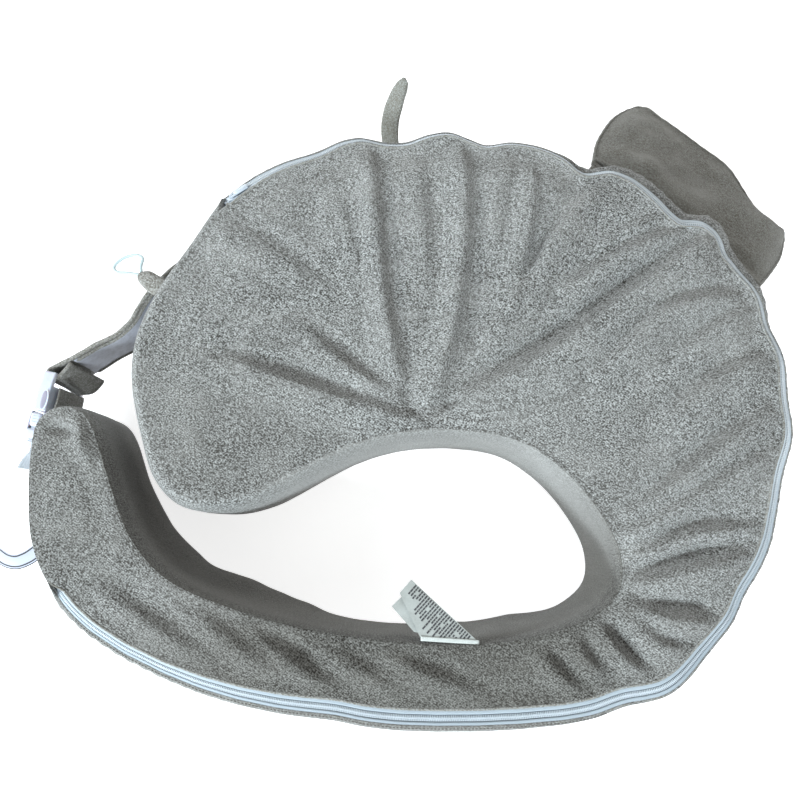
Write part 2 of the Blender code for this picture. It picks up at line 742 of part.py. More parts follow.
def strap():
    """The strap runs from the wide end's wall, round the plug's end bar and back inside itself."""
    low, high = STRAP_MIDDLE_Z - STRAP_WIDTH / 2, STRAP_MIDDLE_Z + STRAP_WIDTH / 2
    main = [Vector(place) for place in STRAP_KNOTS]
    bar = in_buckle(BAR_CENTRE, 0.0)
    turn = arc(bar, STRAP_TURN_RADIUS, STRAP_TURN_START, STRAP_TURN_START + math.pi, 6)
    tail = [Vector(place) for place in TAIL_KNOTS]
    band("strap_outer", line(main + turn + tail), (0.0, low), (0.0, high), FLEECE, "fleece_dark")
    side = FLEECE / 2 + GAP + LINING_THICK / 2
    inner = shortened(line(main), FLEECE, LINING_STOP)
    band("strap_lining", inner, (side, low), (side, high), LINING_THICK, "lining")


# ---------------------------------------------------------------- trims


def hanging_loop():
    """A doubled strip of fleece that stands on edge from the outer wall."""
    band("hanging_loop", line(HANGING_LOOP_KNOTS), (0.0, HANGING_LOOP_LOW), (0.0, HANGING_LOOP_HIGH),
         LOOP_STRIP, "fleece")  # fmt: skip


def loop_tab():
    """A rounded tab that holds the elastic loop's ends."""
    outline = [Vector(place) - PLAN_MIDDLE for place in TAB_OUTLINE]
    plate("loop_tab", outline, ELASTIC_HEIGHT - TAB_THICK / 2, ELASTIC_HEIGHT + TAB_THICK / 2, "fleece")


def elastic_loop():
    """The round elastic, from the tab out and back to it."""
    curve = bpy.data.curves.new("elastic_loop", "CURVE")
    curve.dimensions = "3D"
    curve.bevel_depth = ELASTIC_DIAMETER / 2
    curve.bevel_resolution = 2
    curve.use_fill_caps = True
    knots = [Vector(place) - PLAN_MIDDLE.to_3d() for place in ELASTIC_KNOTS]
    points = smooth(knots, False, 3)
    spline = curve.splines.new("POLY")
    spline.points.add(len(points) - 1)
    for point, place in zip(spline.points, points):
        point.co = (*place, 1.0)
    add("elastic_loop", curve, "elastic")


def labels():
    for name, height in (("care_label_front", CARE_LABEL_Z), ("care_label_back", CARE_LABEL_Z - 2 * LABEL_THICK)):
        outline = [Vector(place) - PLAN_MIDDLE for place in CARE_OUTLINE]
        plate(name, outline, height - LABEL_THICK, height, "label_satin")
    half = RIBBON_WIDTH / 2
    band("ribbon_label", line(RIBBON_KNOTS), (-half, RIBBON_Z), (half, RIBBON_Z), LABEL_THICK, "label_ribbon")


foam_core()
cover()
zipper()
zip_slider()
pocket()
BUCKLE = buckle_axes()
buckle_female(BUCKLE)
buckle_male(BUCKLE)
buckle_prong("buckle_prong_upper", BUCKLE, 1)
buckle_prong("buckle_prong_lower", BUCKLE, -1)
buckle_webbing(BUCKLE)
strap()
hanging_loop()
loop_tab()
elastic_loop()
labels()
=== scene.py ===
"""The nursing pillow's look: fleece cover, zip, pocket, strap and trims over the CAD frame.

Lengths are metres. "Along" is a distance from the zip's start, clockwise round the plan.
"""

import json
import math

import bpy
import numpy as np
from mathutils import Matrix, Vector, noise
from mathutils.geometry import delaunay_2d_cdt

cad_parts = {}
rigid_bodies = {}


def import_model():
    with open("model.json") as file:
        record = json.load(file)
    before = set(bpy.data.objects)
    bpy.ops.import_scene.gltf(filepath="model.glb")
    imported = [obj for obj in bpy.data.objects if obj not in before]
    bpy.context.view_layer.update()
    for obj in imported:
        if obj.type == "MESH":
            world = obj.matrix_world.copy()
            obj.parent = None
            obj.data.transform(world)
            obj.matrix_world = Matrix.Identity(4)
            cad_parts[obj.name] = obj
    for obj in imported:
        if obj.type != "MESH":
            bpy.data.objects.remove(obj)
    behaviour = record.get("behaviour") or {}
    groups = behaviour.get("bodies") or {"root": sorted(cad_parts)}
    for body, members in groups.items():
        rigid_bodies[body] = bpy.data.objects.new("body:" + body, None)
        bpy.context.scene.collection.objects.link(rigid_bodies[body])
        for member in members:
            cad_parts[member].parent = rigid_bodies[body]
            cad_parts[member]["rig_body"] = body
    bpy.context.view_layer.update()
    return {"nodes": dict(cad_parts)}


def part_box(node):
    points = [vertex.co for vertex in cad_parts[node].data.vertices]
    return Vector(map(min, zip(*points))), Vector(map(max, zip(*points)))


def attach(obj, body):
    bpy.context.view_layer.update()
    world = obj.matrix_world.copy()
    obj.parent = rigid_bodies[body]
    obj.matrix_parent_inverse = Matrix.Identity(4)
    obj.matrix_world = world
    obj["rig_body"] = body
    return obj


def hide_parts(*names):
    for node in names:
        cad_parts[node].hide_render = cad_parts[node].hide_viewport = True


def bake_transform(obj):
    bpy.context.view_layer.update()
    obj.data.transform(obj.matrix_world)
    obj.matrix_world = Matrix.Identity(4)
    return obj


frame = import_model()
NODES = frame["nodes"]
MM = 0.001
TOP = 0.112

# Zip: how far its middle wanders outward of the outline, in mm, and how steeply its band lies.
ZIP_WANDER = (
    (0, -5.8), (40, -1.7), (60, -1), (90, -2), (115, 1.5), (125, 1), (147, -7), (164, -9), (186, -3),
    (201, -1), (221, -7), (231, -10), (255, -4.5), (280, -3), (301, -5.5), (323, -12), (345, -0.5), (357, 1),
    (385, -2.5), (407, -7), (415, -7), (432, 3.3), (441, 3.7), (463, -3.5), (476, -3), (503, 1), (531, -3),
    (557, 0.5), (590, -1.5), (626, 1.5), (644, -2), (722, -2.6), (759, -6.4), (774, -4.5), (808, -4.4),
    (852, -0.7), (883, -5.5), (914, -4), (948, -5.2), (1015, -6.7), (1080, -6.8), (1109, -8.3), (1138, -6.5),
    (1189, -3.4), (1250, -1), (1315, 0.6), (1338, -0.3),
)  # fmt: skip
BAND_SLOPE = ((0, 42), (700, 40), (800, 35), (850, 20), (950, 4), (1050, 0), (1120, 10), (1170, 20),
    (1250, 38), (1338, 42))
BAND_HALF = ((0, 6.6), (70, 5.3), (345, 5.2), (375, 7.4), (450, 7.4), (485, 5.6), (600, 6.6), (800, 6.8),
    (940, 6.1), (1338, 5.9))
# Where there is no zip: how far in from the outline the cover's top seam lies, in mm.
SEAM_INSET = ((1338, 3), (1370, 2.6), (1500, 3), (1540, 2.6), (2000, 2.2), (2060, 3), (2200, 3.5), (2330, 7),
    (2420, 10), (2500, 11), (2690, 10), (2738, 8))

# Folds of the top panel: a crest line, its height, and the widths of its steep and its gentle side, in mm.
FOLDS = (
    (((-167, 119), (-134, 108), (-101, 88), (-72, 65)), 0.9, 6, 15),
    (((-35, 191), (-29, 135), (-22, 59), (-9, -7)), 2.6, 4.5, 9),
    (((-143, 7), (-106, -6), (-50, -25), (4, -42)), 2.4, 5, 12),
    (((-88, 34), (-47, 0), (-8, -26)), 1.6, 5, 10),
    (((43, 194), (45, 140), (38, 60), (21, -15)), 2.6, 4.5, 9),
    (((251, 113), (192, 72), (121, 20), (44, -22)), 4.2, 5.5, 17),
    (((102, 160), (95, 110), (80, 52)), 1.8, 4, 9),
    (((155, 158), (117, 107), (86, 56), (62, 28)), 2.4, 4.5, 10),
    (((222, 117), (174, 97), (128, 66)), 2.2, 4.5, 10),
    (((263, 64), (208, 49), (170, 14), (150, -4)), 2.4, 4.5, 10),
    (((272, 50), (234, 27), (218, 14)), 1.6, 4, 7),
    (((288, 14), (240, -11), (202, -44)), 2.0, 5, 11),
    (((285, -31), (244, -62), (172, -116)), 2.4, 4.5, 10),
    (((290, -61), (230, -96), (162, -134)), 2.0, 4, 8),
    (((270, -123), (217, -129), (165, -149)), 1.8, 4, 8),
    (((263, -144), (202, -159), (160, -170)), 3.2, 5, 11),
    (((157, -181), (191, -190), (238, -196)), 3.0, 5, 9),
    (((160, -189), (184, -208), (219, -219)), 1.8, 4, 8),
    (((141, -195), (160, -220), (175, -231)), 2.6, 4, 8),
    (((124, -205), (131, -220), (144, -233)), 1.8, 4, 7),
    (((100, -218), (113, -234), (127, -244)), 1.6, 4, 7),
    (((-18, -218), (8, -230), (52, -248)), 1.5, 5, 9),
    (((-60, -214), (-24, -237), (-8, -246)), 1.2, 5, 9),
    (((-96, -214), (-65, -239), (-54, -247)), 1.4, 5, 9),
    (((-128, -196), (-90, -224), (-75, -235)), 1.4, 5, 9),
    (((-162, -187), (-121, -218), (-100, -233)), 1.5, 5, 10),
    (((-236, -169), (-192, -197), (-150, -223)), 1.5, 5, 11),
    (((-258, -36), (-254, -50), (-247, -70)), 3.0, 4, 6),
    (((-60, 150), (-52, 110), (-42, 60)), 0.8, 5, 9),
    (((5, 175), (10, 120), (12, 60)), 0.9, 5, 10),
    (((80, 180), (74, 140), (66, 100)), 0.9, 5, 9),
    (((205, 130), (170, 112), (150, 98)), 1.0, 4, 8),
)  # fmt: skip
LIGHT_SIDE = np.array([-0.35, -0.94])


# ---------------------------------------------------------------- numbers


def knots_at(table, where, period=None):
    """Smooth curve through (mm, value) knots, at distances in metres."""
    x = np.array([row[0] for row in table], float) * MM
    y = np.array([row[1:] for row in table], float)
    slope = np.gradient(y, x, axis=0)
    where = np.clip(where, x[0], x[-1])
    i = np.clip(np.searchsorted(x, where) - 1, 0, len(x) - 2)
    h = (x[i + 1] - x[i])[:, None]
    t = (where[:, None] - x[i][:, None]) / h
    a, b = y[i], y[i + 1]
    out = (
        a * (2 * t**3 - 3 * t**2 + 1) + b * (3 * t**2 - 2 * t**3)
        + slope[i] * h * (t**3 - 2 * t**2 + t) + slope[i + 1] * h * (t**3 - t**2)
    )  # fmt: skip
    return out if out.shape[1] > 1 else out[:, 0]


def curve_through(knots, step):
    """Points about one step apart on a smooth curve through the knots."""
    knots = np.array(knots, float)
    d = np.r_[0, np.cumsum(np.linalg.norm(np.diff(knots, axis=0), axis=1))]
    count = max(2, int(round(d[-1] / step)) + 1)
    table = [(x / MM, *k) for x, k in zip(d, knots)]
    return knots_at(table, np.linspace(0, d[-1], count))


def step_up(x, low, high):
    t = np.clip((x - low) / (high - low), 0, 1)
    return t * t * (3 - 2 * t)


def waves(points, size, seed, octaves=3):
    """Smooth noise about zero at each point, features about size across."""
    shift = Vector((seed * 7.31, seed * 3.17, seed * 5.53))
    return np.array([noise.fractal(Vector(p) / size + shift, 1.0, 2.0, octaves) for p in points])


def unit(v):
    return v / np.maximum(np.linalg.norm(v, axis=-1, keepdims=True), 1e-12)


# ---------------------------------------------------------------- mesh building


def add(name, points, faces, finish, uv=None, smooth=True):
    mesh = bpy.data.meshes.new(name)
    mesh.from_pydata([tuple(p) for p in points], [], [tuple(map(int, f)) for f in faces])
    mesh.polygons.foreach_set("use_smooth", [smooth] * len(mesh.polygons))
    if uv is not None:
        layer = mesh.uv_layers.new(name="UVMap")
        loops = np.empty(len(mesh.loops), int)
        mesh.loops.foreach_get("vertex_index", loops)
        layer.data.foreach_set("uv", np.asarray(uv, float)[loops].ravel())
    mesh.materials.append(finish)
    mesh.validate()
    obj = bpy.data.objects.new(name, mesh)
    bpy.context.scene.collection.objects.link(obj)
    return obj


def settle(obj, body, slot, *replaced):
    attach(obj, body)
    if replaced:
        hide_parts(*replaced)
    return obj


def grid_faces(rows, columns, wrap_rows=False, wrap_columns=False):
    r = np.arange(rows if wrap_rows else rows - 1)
    c = np.arange(columns if wrap_columns else columns - 1)
    r, c = np.meshgrid(r, c, indexing="ij")
    r2, c2 = (r + 1) % rows, (c + 1) % columns
    return np.stack([r * columns + c, r * columns + c2, r2 * columns + c2, r2 * columns + c], -1).reshape(-1,
        4)


def soften(obj, amount):
    """Writes the "smooth" attribute that fades the fleece's nubs."""
    layer = obj.data.attributes.new("smooth", "FLOAT", "POINT")
    layer.data.foreach_set("value", np.asarray(amount, np.float32).ravel())
    return obj


def tone(obj, amount):
    """Writes the "tone" attribute: painted shade, which darkens a finish from 0, as it is, to 1."""
    layer = obj.data.attributes.new("tone", "FLOAT", "POINT")
    layer.data.foreach_set("value", np.asarray(amount, np.float32).ravel())
    return obj


def paint_fleece_shade(obj, most=1.0):
    """Painted shade: darkens the arm's front, where the nap lies away from the light, and a little of the
    wide end.
    """
    co = np.array([v.co for v in obj.data.vertices])
    x, y = co[:, 0], co[:, 1]
    low = 1 - step_up(y, -0.215, -0.135)
    low *= step_up(x, -0.30, -0.20) * 0.55 + 0.45 * step_up(x, -0.2, -0.1)
    low *= 1 - 0.70 * step_up(x, 0.12, 0.20)
    west = 0.26 * (1 - step_up(x, -0.12, 0.0)) * (1 - step_up(y, -0.02, 0.10))
    arm = 0.40 * (1 - step_up(x, -0.22, -0.16)) * (1 - step_up(y, -0.06, -0.03))
    return tone(obj, most * np.clip(np.maximum(low + 0.5 * west, np.maximum(west, arm)), 0, 1))


def paint_zip_front_shade(obj):
    """Painted shade: darkens the zip's tapes and teeth, most along the front."""
    co = np.array([v.co for v in obj.data.vertices])
    return tone(obj, 0.55 + 0.45 * (1 - step_up(co[:, 1], -0.19, -0.02)))


def sheet_of(name, rows, finish, closed_rows=False, closed_columns=False, caps=False, smooth=True):
    """A mesh over an array of points, shape (rows, columns, 3), with UVs in metres along both ways."""
    rows = np.asarray(rows, float)
    n, m = rows.shape[:2]
    faces = grid_faces(n, m, closed_rows, closed_columns)
    u = np.zeros((n, m))
    u[1:] = np.cumsum(np.linalg.norm(np.diff(rows, axis=0), axis=2).mean(1))[:, None]
    v = np.zeros((n, m))
    v[:, 1:] = np.cumsum(np.linalg.norm(np.diff(rows, axis=1), axis=2), axis=1)
    faces = [tuple(f) for f in faces]
    if caps:
        faces += [tuple(range(m))[::-1], tuple(range((n - 1) * m, n * m))]
    return add(name, rows.reshape(-1, 3), faces, finish, np.stack([u, v], -1).reshape(-1, 2), smooth)


def round_section(wide, thick, radius, steps=4, lumps=0):
    """A rounded rectangle, counter-clockwise, as (across, up) pairs."""
    a, b, r = wide / 2, thick / 2, radius
    out = []
    for cx, cy, first in ((a - r, b - r, 0), (r - a, b - r, 90), (r - a, r - b, 180), (a - r, r - b, 270)):
        for k in range(steps + 1):
            turn = math.radians(first + 90 * k / steps)
            out.append((cx + r * math.cos(turn), cy + r * math.sin(turn)))
    return np.array(out)


def swept(name, path, across, up, section, finish, closed=False, caps=True):
    """A section carried along a path; the section's pairs go along across and up."""
    path, across, up = (np.asarray(v, float) for v in (path, across, up))
    section = np.asarray(section, float)
    if section.ndim == 2:
        section = np.repeat(section[None], len(path), 0)
    rows = path[:, None] + across[:, None] * section[..., :1] + up[:, None] * section[..., 1:]
    return sheet_of(name, rows, finish, closed, True, caps and not closed)


def bevelled_copy(name, node, width, finish, segments=3):
    """A CAD node's shape with its edges softened, as a new piece."""
    mesh = NODES[node].data.copy()
    obj = bpy.data.objects.new(name, mesh)
    bpy.context.scene.collection.objects.link(obj)
    mesh.materials.clear()
    mesh.materials.append(finish)
    import bmesh

    work = bmesh.new()
    work.from_mesh(mesh)
    bmesh.ops.remove_doubles(work, verts=work.verts, dist=2e-6)
    bmesh.ops.dissolve_limit(work, angle_limit=math.radians(2), verts=work.verts, edges=work.edges)
    sharp = [e for e in work.edges if e.is_manifold and e.calc_face_angle(0) > math.radians(28)]
    bmesh.ops.bevel(work, geom=sharp, offset=width, segments=segments, profile=0.5, affect="EDGES",
        clamp_overlap=True)
    work.to_mesh(mesh)
    work.free()
    mesh.polygons.foreach_set("use_smooth", [True] * len(mesh.polygons))
    harden = obj.modifiers.new("even shading", "WEIGHTED_NORMAL")
    harden.keep_sharp = False
    return obj


# ---------------------------------------------------------------- materials


class Finish:
    """A procedural material, built one node at a time."""

    def __init__(self, name, colour, roughness, **fixed):
        self.material = bpy.data.materials.new(name)
        self.material.use_nodes = True
        self.material.diffuse_color = (*colour, 1)
        self.tree = self.material.node_tree
        self.shader = self.tree.nodes["Principled BSDF"]
        self.shader.inputs["Base Color"].default_value = (*colour, 1)
        self.shader.inputs["Roughness"].default_value = roughness
        for key, value in fixed.items():
            self.shader.inputs[key.replace("_", " ")].default_value = value
        self.colour = colour

    def node(self, kind, inputs=None, output=0, **settings):
        made = self.tree.nodes.new(kind)
        for key, value in settings.items():
            setattr(made, key, value)
        for key, value in (inputs or {}).items():
            if isinstance(value, bpy.types.NodeSocket):
                self.tree.links.new(value, made.inputs[key])
            else:
                made.inputs[key].default_value = value
        return made.outputs[output]

    def place(self, scale=(1, 1, 1), turn=(0, 0, 0), uv=False):
        source = self.tree.nodes.new("ShaderNodeTexCoord").outputs["UV" if uv else "Object"]
        return self.node("ShaderNodeMapping", {0: source, "Scale": scale, "Rotation": turn})

    def noise(self, place, scale, detail=2.0, rough=0.5, distort=0.0):
        return self.node(
            "ShaderNodeTexNoise",
            {"Vector": place, "Scale": scale, "Detail": detail, "Roughness": rough, "Distortion": distort},
        )

    def cells(self, place, scale, feature="SMOOTH_F1", output=0, even=1.0):
        inputs = {"Vector": place, "Scale": scale, "Randomness": even}
        return self.node("ShaderNodeTexVoronoi", inputs, output, feature=feature)

    def sum(self, a, b, how="ADD", c=None):
        inputs = {0: a, 1: b} if c is None else {0: a, 1: b, 2: c}
        return self.node("ShaderNodeMath", inputs, operation=how)

    def spread(self, value, low, high, out_low=0.0, out_high=1.0):
        inputs = {"Value": value, "From Min": low, "From Max": high, "To Min": out_low, "To Max": out_high}
        return self.node("ShaderNodeMapRange", inputs)

    def mix(self, share, a, b, how="MIX"):
        made = self.tree.nodes.new("ShaderNodeMix")
        made.data_type, made.blend_type = "RGBA", how
        for at, value in ((0, share), (6, a), (7, b)):
            if isinstance(value, bpy.types.NodeSocket):
                self.tree.links.new(value, made.inputs[at])
            else:
                made.inputs[at].default_value = value if at == 0 else (*value, 1)
        return made.outputs[2]

    def paint(self, colour):
        self.tree.links.new(colour, self.shader.inputs["Base Color"])

    def dimmed(self, paint, by):
        """The paint, multiplied by a colour as far as the mesh attribute "tone" says: painted shade."""
        amount = self.node("ShaderNodeAttribute", output=2, attribute_name="tone")
        return self.mix(1.0, paint, self.mix(amount, (1, 1, 1), by), "MULTIPLY")

    def rough(self, value):
        self.tree.links.new(value, self.shader.inputs["Roughness"])

    def bump(self, height, depth, strength=1.0):
        inputs = {"Height": height, "Distance": depth, "Strength": strength}
        self.tree.links.new(self.node("ShaderNodeBump", inputs), self.shader.inputs["Normal"])


def shade(colour, by):
    return tuple(min(1.0, c * by) for c in colour)


def fleece(name, colour, nub=580, contrast=1.0, depth=1.0 * MM, pile=1.0, patches=0.20):
    """Short sherpa pile: round nubs with painted shade in the gaps between, brushed in streaks, and broad
    shifts in tone.

    The gaps' painted shade is brownish and the tips carry a bluish painted highlight. The mesh attribute
    "smooth" (0 where it is missing) fades the nubs out towards brushed suede.
    """
    f = Finish(name, colour, 0.95, Sheen_Weight=0.14 * pile, Sheen_Roughness=0.5, Specular_IOR_Level=0.1)
    nap = f.place((1.0, 1.12, 1.0), (0, 0, math.radians(38)))
    worn = f.node("ShaderNodeAttribute", output=2, attribute_name="smooth")
    tufts = f.cells(nap, nub, "F1", even=0.6)
    curls = f.noise(nap, nub * 1.2, 1, 0.5, 0.4)
    fine = f.noise(nap, nub * 3.4, 2, 0.6)
    height = f.sum(f.spread(tufts, 0.0, 0.7, 1, 0), 0.42, "MULTIPLY")
    height = f.sum(height, f.sum(f.spread(curls, 0.32, 0.68), 0.50, "MULTIPLY"))
    height = f.sum(height, f.sum(fine, 0.08, "MULTIPLY"))
    keep = f.sum(1.0, worn, "SUBTRACT")
    # Painted shade in the gaps and painted highlight on the tips, mixed by the nubs' height.
    gap, tip = 1 - 0.80 * contrast, 1 + 0.90 * contrast
    gap_shade_colour = tuple(c * gap * k for c, k in zip(colour, (1.08, 1.0, 0.88)))
    tip_highlight_colour = tuple(c * tip * k for c, k in zip(colour, (0.965, 1.0, 1.03)))
    nubs = f.mix(f.spread(height, 0.16, 0.92), gap_shade_colour, tip_highlight_colour)
    suede = f.mix(f.spread(fine, 0.3, 0.7), shade(colour, 0.84), shade(colour, 1.12))
    paint = f.mix(keep, suede, nubs)
    streaks = f.noise(f.place((1, 2.6, 1), (0, 0, math.radians(-52))), 34, 2, 0.55)
    paint = f.mix(f.spread(streaks, 0.40, 0.68, 0.0, 0.24), paint, shade(colour, 0.70))
    broad = f.noise(f.place(), 9, 2, 0.5)
    paint = f.mix(f.spread(broad, 0.35, 0.65, 0.0, patches), paint, shade(colour, 1.2))
    rubbed = f.noise(f.place((1, 1.4, 1)), 26, 2, 0.5)
    paint = f.mix(f.spread(rubbed, 0.52, 0.74, 0.0, patches), paint, shade(colour, 1.35))
    # Painted shade: darkened towards a brownish grey as far as the attribute "tone" says.
    f.paint(f.dimmed(paint, (0.53, 0.515, 0.49)))
    f.bump(f.sum(height, f.spread(keep, 0, 1, 0.30, 1.0), "MULTIPLY"), depth)
    return f.material


def woven(name, colour, pitch=0.0011, depth=0.25 * MM, lines=2.0, **fixed):
    """Plain weave on UVs in metres: ribs along and across."""
    f = Finish(name, colour, 0.7, Sheen_Weight=0.1, **fixed)
    uv = f.place((1 / pitch, 1 / pitch, 1), uv=True)
    parts = f.node("ShaderNodeSeparateXYZ", {0: uv})
    u, v = parts, parts.node.outputs[1]
    wave_u = f.sum(f.sum(u, 6.2832, "MULTIPLY"), 0.0, "SINE")
    wave_v = f.sum(f.sum(v, 6.2832 / lines, "MULTIPLY"), 0.0, "SINE")
    height = f.spread(f.sum(wave_u, wave_v, "MULTIPLY"), -1, 1)
    fuzz = f.noise(f.place(), 1500, 2, 0.6)
    height = f.sum(height, f.sum(fuzz, 0.4, "MULTIPLY"))
    paint = f.mix(f.spread(height, 0.1, 1.2), shade(colour, 0.80), shade(colour, 1.06))
    soil = f.noise(f.place(), 28, 3, 0.6)
    paint = f.mix(f.spread(soil, 0.4, 0.75, 0, 0.35), paint, shade(colour, 0.86))
    # Painted shade: darkened towards blue-grey as far as the attribute "tone" says.
    f.paint(f.dimmed(paint, (0.44, 0.47, 0.49)))
    f.bump(height, depth)
    return f.material


def plastic(name, colour, roughness=0.34, **fixed):
    """Moulded plastic: faint orange peel, hair scratches and handling haze."""
    f = Finish(name, colour, roughness, Coat_Weight=0.12, Coat_Roughness=0.25, **fixed)
    peel = f.noise(f.place(), 900, 2, 0.5)
    scratch = f.noise(f.place((1, 18, 1), (0.3, 0.2, 0.7)), 240, 3, 0.7)
    haze = f.noise(f.place(), 60, 3, 0.6)
    # Painted shade: darkened towards grey as far as the attribute "tone" says, over a faint haze.
    f.paint(f.dimmed(f.mix(f.spread(haze, 0.35, 0.7), shade(colour, 0.93), shade(colour, 1.03)),
            (0.50, 0.53, 0.55)))
    f.rough(f.spread(f.sum(haze, scratch), 0.7, 1.3, roughness - 0.07, roughness + 0.14))
    f.bump(f.sum(peel, f.sum(scratch, 0.6, "MULTIPLY")), 0.05 * MM, 0.5)
    return f.material


def linen(name, colour, scale=1300, depth=0.12 * MM, sheen=0.1, roughness=0.6, mottled=0.84):
    """A fine smooth cloth without UVs: crossed threads from two stretched noises."""
    f = Finish(name, colour, roughness, Sheen_Weight=sheen)
    one = f.noise(f.place((1, 12, 1), (0, 0, 0.4)), scale / 6, 2, 0.5)
    two = f.noise(f.place((12, 1, 6), (0, 0, 0.4)), scale / 6, 2, 0.5)
    height = f.sum(one, two)
    broad = f.noise(f.place(), 35, 3, 0.55)
    paint = f.mix(f.spread(height, 0.7, 1.3), shade(colour, 0.86), shade(colour, 1.08))
    paint = f.mix(f.spread(broad, 0.35, 0.7, 0, 0.4), paint, shade(colour, 0.84))
    spots = f.noise(f.place(), 190, 2, 0.6)
    f.paint(f.mix(f.spread(spots, 0.45, 0.62, 0, 0.6), paint, shade(colour, mottled)))
    f.bump(height, depth)
    return f.material


FLEECE = fleece("fleece", (0.266, 0.268, 0.257), contrast=1.1)
FLEECE_EDGE = fleece("fleece_edge", (0.25, 0.255, 0.245), nub=560, contrast=0.6, depth=0.6 * MM)
FLEECE_DARK = fleece("fleece_dark", (0.190, 0.190, 0.176), nub=540, contrast=0.62, depth=0.8 * MM, pile=0.7,
    patches=0.60)
FLEECE_TRIM = fleece("fleece_trim", (0.255, 0.252, 0.235), nub=540, contrast=0.75, depth=0.6 * MM)
FOAM = linen("foam", (0.80, 0.74, 0.55), 700, 0.5 * MM, 0.0, 0.95)
TAPE = woven("zip_tape", (0.80, 0.89, 0.96), 0.0009)
COIL = plastic("zip_coil", (0.82, 0.88, 0.92), 0.38)
SLIDER = plastic("zip_slider_enamel", (0.44, 0.50, 0.56), 0.36)
# Painted shadow: dark strips under the zip's teeth and along its tapes' edges.
ZIP_SHADOW = linen("zip_painted_shadow", (0.20, 0.23, 0.26), 1500, 0.1 * MM)
BUCKLE = plastic("buckle_plastic", (0.56, 0.60, 0.69), 0.30, Subsurface_Weight=0.15, Subsurface_Scale=0.004)
WEBBING = woven("webbing", (0.52, 0.56, 0.60), 0.0016, 0.4 * MM)
LOOP = fleece("fleece_loop", (0.235, 0.242, 0.226), nub=600, contrast=0.5, depth=0.6 * MM)
LINING = linen("lining", (0.46, 0.485, 0.56), 1500, 0.1 * MM, mottled=0.66)
STITCH = linen("stitching", (0.62, 0.62, 0.60), 2600, 0.1 * MM)
STITCH_DARK = linen("stitching_dark", (0.10, 0.095, 0.085), 2600, 0.1 * MM)
ELASTIC = linen("elastic", (0.49, 0.60, 0.62), 2400, 0.25 * MM)
# Painted shade for the recessed windows in the plug's rails.
WINDOW_SHADE = plastic("buckle_window_shade", (0.30, 0.29, 0.36), 0.4)
SATIN = linen("label_satin", (0.33, 0.355, 0.34), 2000, 0.05 * MM, 0.25, 0.38)
BINDING = linen("label_binding", (0.50, 0.54, 0.52), 1500, 0.2 * MM, 0.1, 0.6)
PRINT = linen("label_print", (0.035, 0.035, 0.04), 2400, 0.02 * MM)
RIBBON = woven("label_ribbon", (0.47, 0.51, 0.60), 0.0007, 0.12 * MM)
RIBBON_DARK = woven("label_ribbon_dark", (0.03, 0.03, 0.035), 0.0007, 0.12 * MM)


# ---------------------------------------------------------------- the plan


def plan_outline():
    """The cover's outline, clockwise from above and starting at the zip's start, as evenly spaced points."""
    mesh = NODES["cover_bottom_panel"].data
    edges = set()
    for face in mesh.polygons:
        if face.normal.z > -0.9:
            continue
        ring = [tuple(round(c, 5) for c in mesh.vertices[i].co[:2]) for i in face.vertices]
        for a, b in zip(ring, ring[1:] + ring[:1]):
            if (b, a) in edges:
                edges.discard((b, a))
            else:
                edges.add((a, b))
    follow = dict(edges)
    ring = [min(follow)]
    while follow[ring[-1]] != ring[0]:
        ring.append(follow[ring[-1]])
    ring = np.array(ring)
    if np.cross(ring, np.roll(ring, -1, 0)).sum() > 0:
        ring = ring[::-1]
    low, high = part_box("zipper_top_stop")
    stop = np.array([(low[0] + high[0]) / 2, (low[1] + high[1]) / 2])
    fine = around(ring, int(4000))
    start = np.argmin(np.linalg.norm(fine - stop, axis=1))
    fine = np.roll(fine, -start, 0)
    width = 0.004 / (length_round(fine) / len(fine))
    reach = np.arange(-int(4 * width), int(4 * width) + 1)
    weight = np.exp(-((reach / width) ** 2) / 2)
    weight /= weight.sum()
    fine = sum(w * np.roll(fine, -k, 0) for w, k in zip(weight, reach))
    return around(fine, 1160)


def length_round(ring):
    return np.linalg.norm(np.roll(ring, -1, 0) - ring, axis=1).sum()


def around(ring, count):
    closed = np.vstack([ring, ring[:1]])
    d = np.r_[0, np.cumsum(np.linalg.norm(np.diff(closed, axis=0), axis=1))]
    at = np.linspace(0, d[-1], count, endpoint=False)
    return np.stack([np.interp(at, d, closed[:, k]) for k in (0, 1)], 1)


RING = plan_outline()
COUNT = len(RING)
ROUND = length_round(RING)
ALONG = np.arange(COUNT) * ROUND / COUNT
WAY = unit(np.roll(RING, -1, 0) - np.roll(RING, 1, 0))
OUT = np.stack([-WAY[:, 1], WAY[:, 0]], 1)
low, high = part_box("zipper_bottom_stop")
ZIP_LENGTH = ALONG[np.argmin(np.linalg.norm(RING - [(low[0] + high[0]) / 2, (low[1] + high[1]) / 2], axis=1))]


def on_ring(along, out=0.0, z=None):
    """Points at distances round the outline, moved outward; with z given they are 3-D."""
    at = np.asarray(along, float) / ROUND * COUNT
    wrapped = np.arange(COUNT + 1)
    p = np.stack([np.interp(at % COUNT, wrapped, np.r_[RING[:, k], RING[0, k]]) for k in (0, 1)], -1)
    n = unit(np.stack([np.interp(at % COUNT, wrapped, np.r_[OUT[:, k], OUT[0, k]]) for k in (0, 1)], -1))
    p = p + n * np.broadcast_to(np.asarray(out, float)[..., None], p.shape)
    if z is None:
        return p, n
    return np.concatenate([p, np.broadcast_to(np.asarray(z, float)[..., None], p.shape[:-1] + (1,))], -1), n


def zip_line(along):
    """For points on the zip: how far its middle is outward, its height, and the band's slope."""
    wander = (knots_at(ZIP_WANDER, along) - 1.0 * step_up(along, 0.03, 0.08)
        - 1.9 * step_up(along, 0.84, 1.0)) * MM
    slope = np.radians(np.maximum(knots_at(BAND_SLOPE, along), 0))
    height = 0.1080 - 0.0030 * np.sin(slope) / math.sin(math.radians(41))
    return wander, height, slope


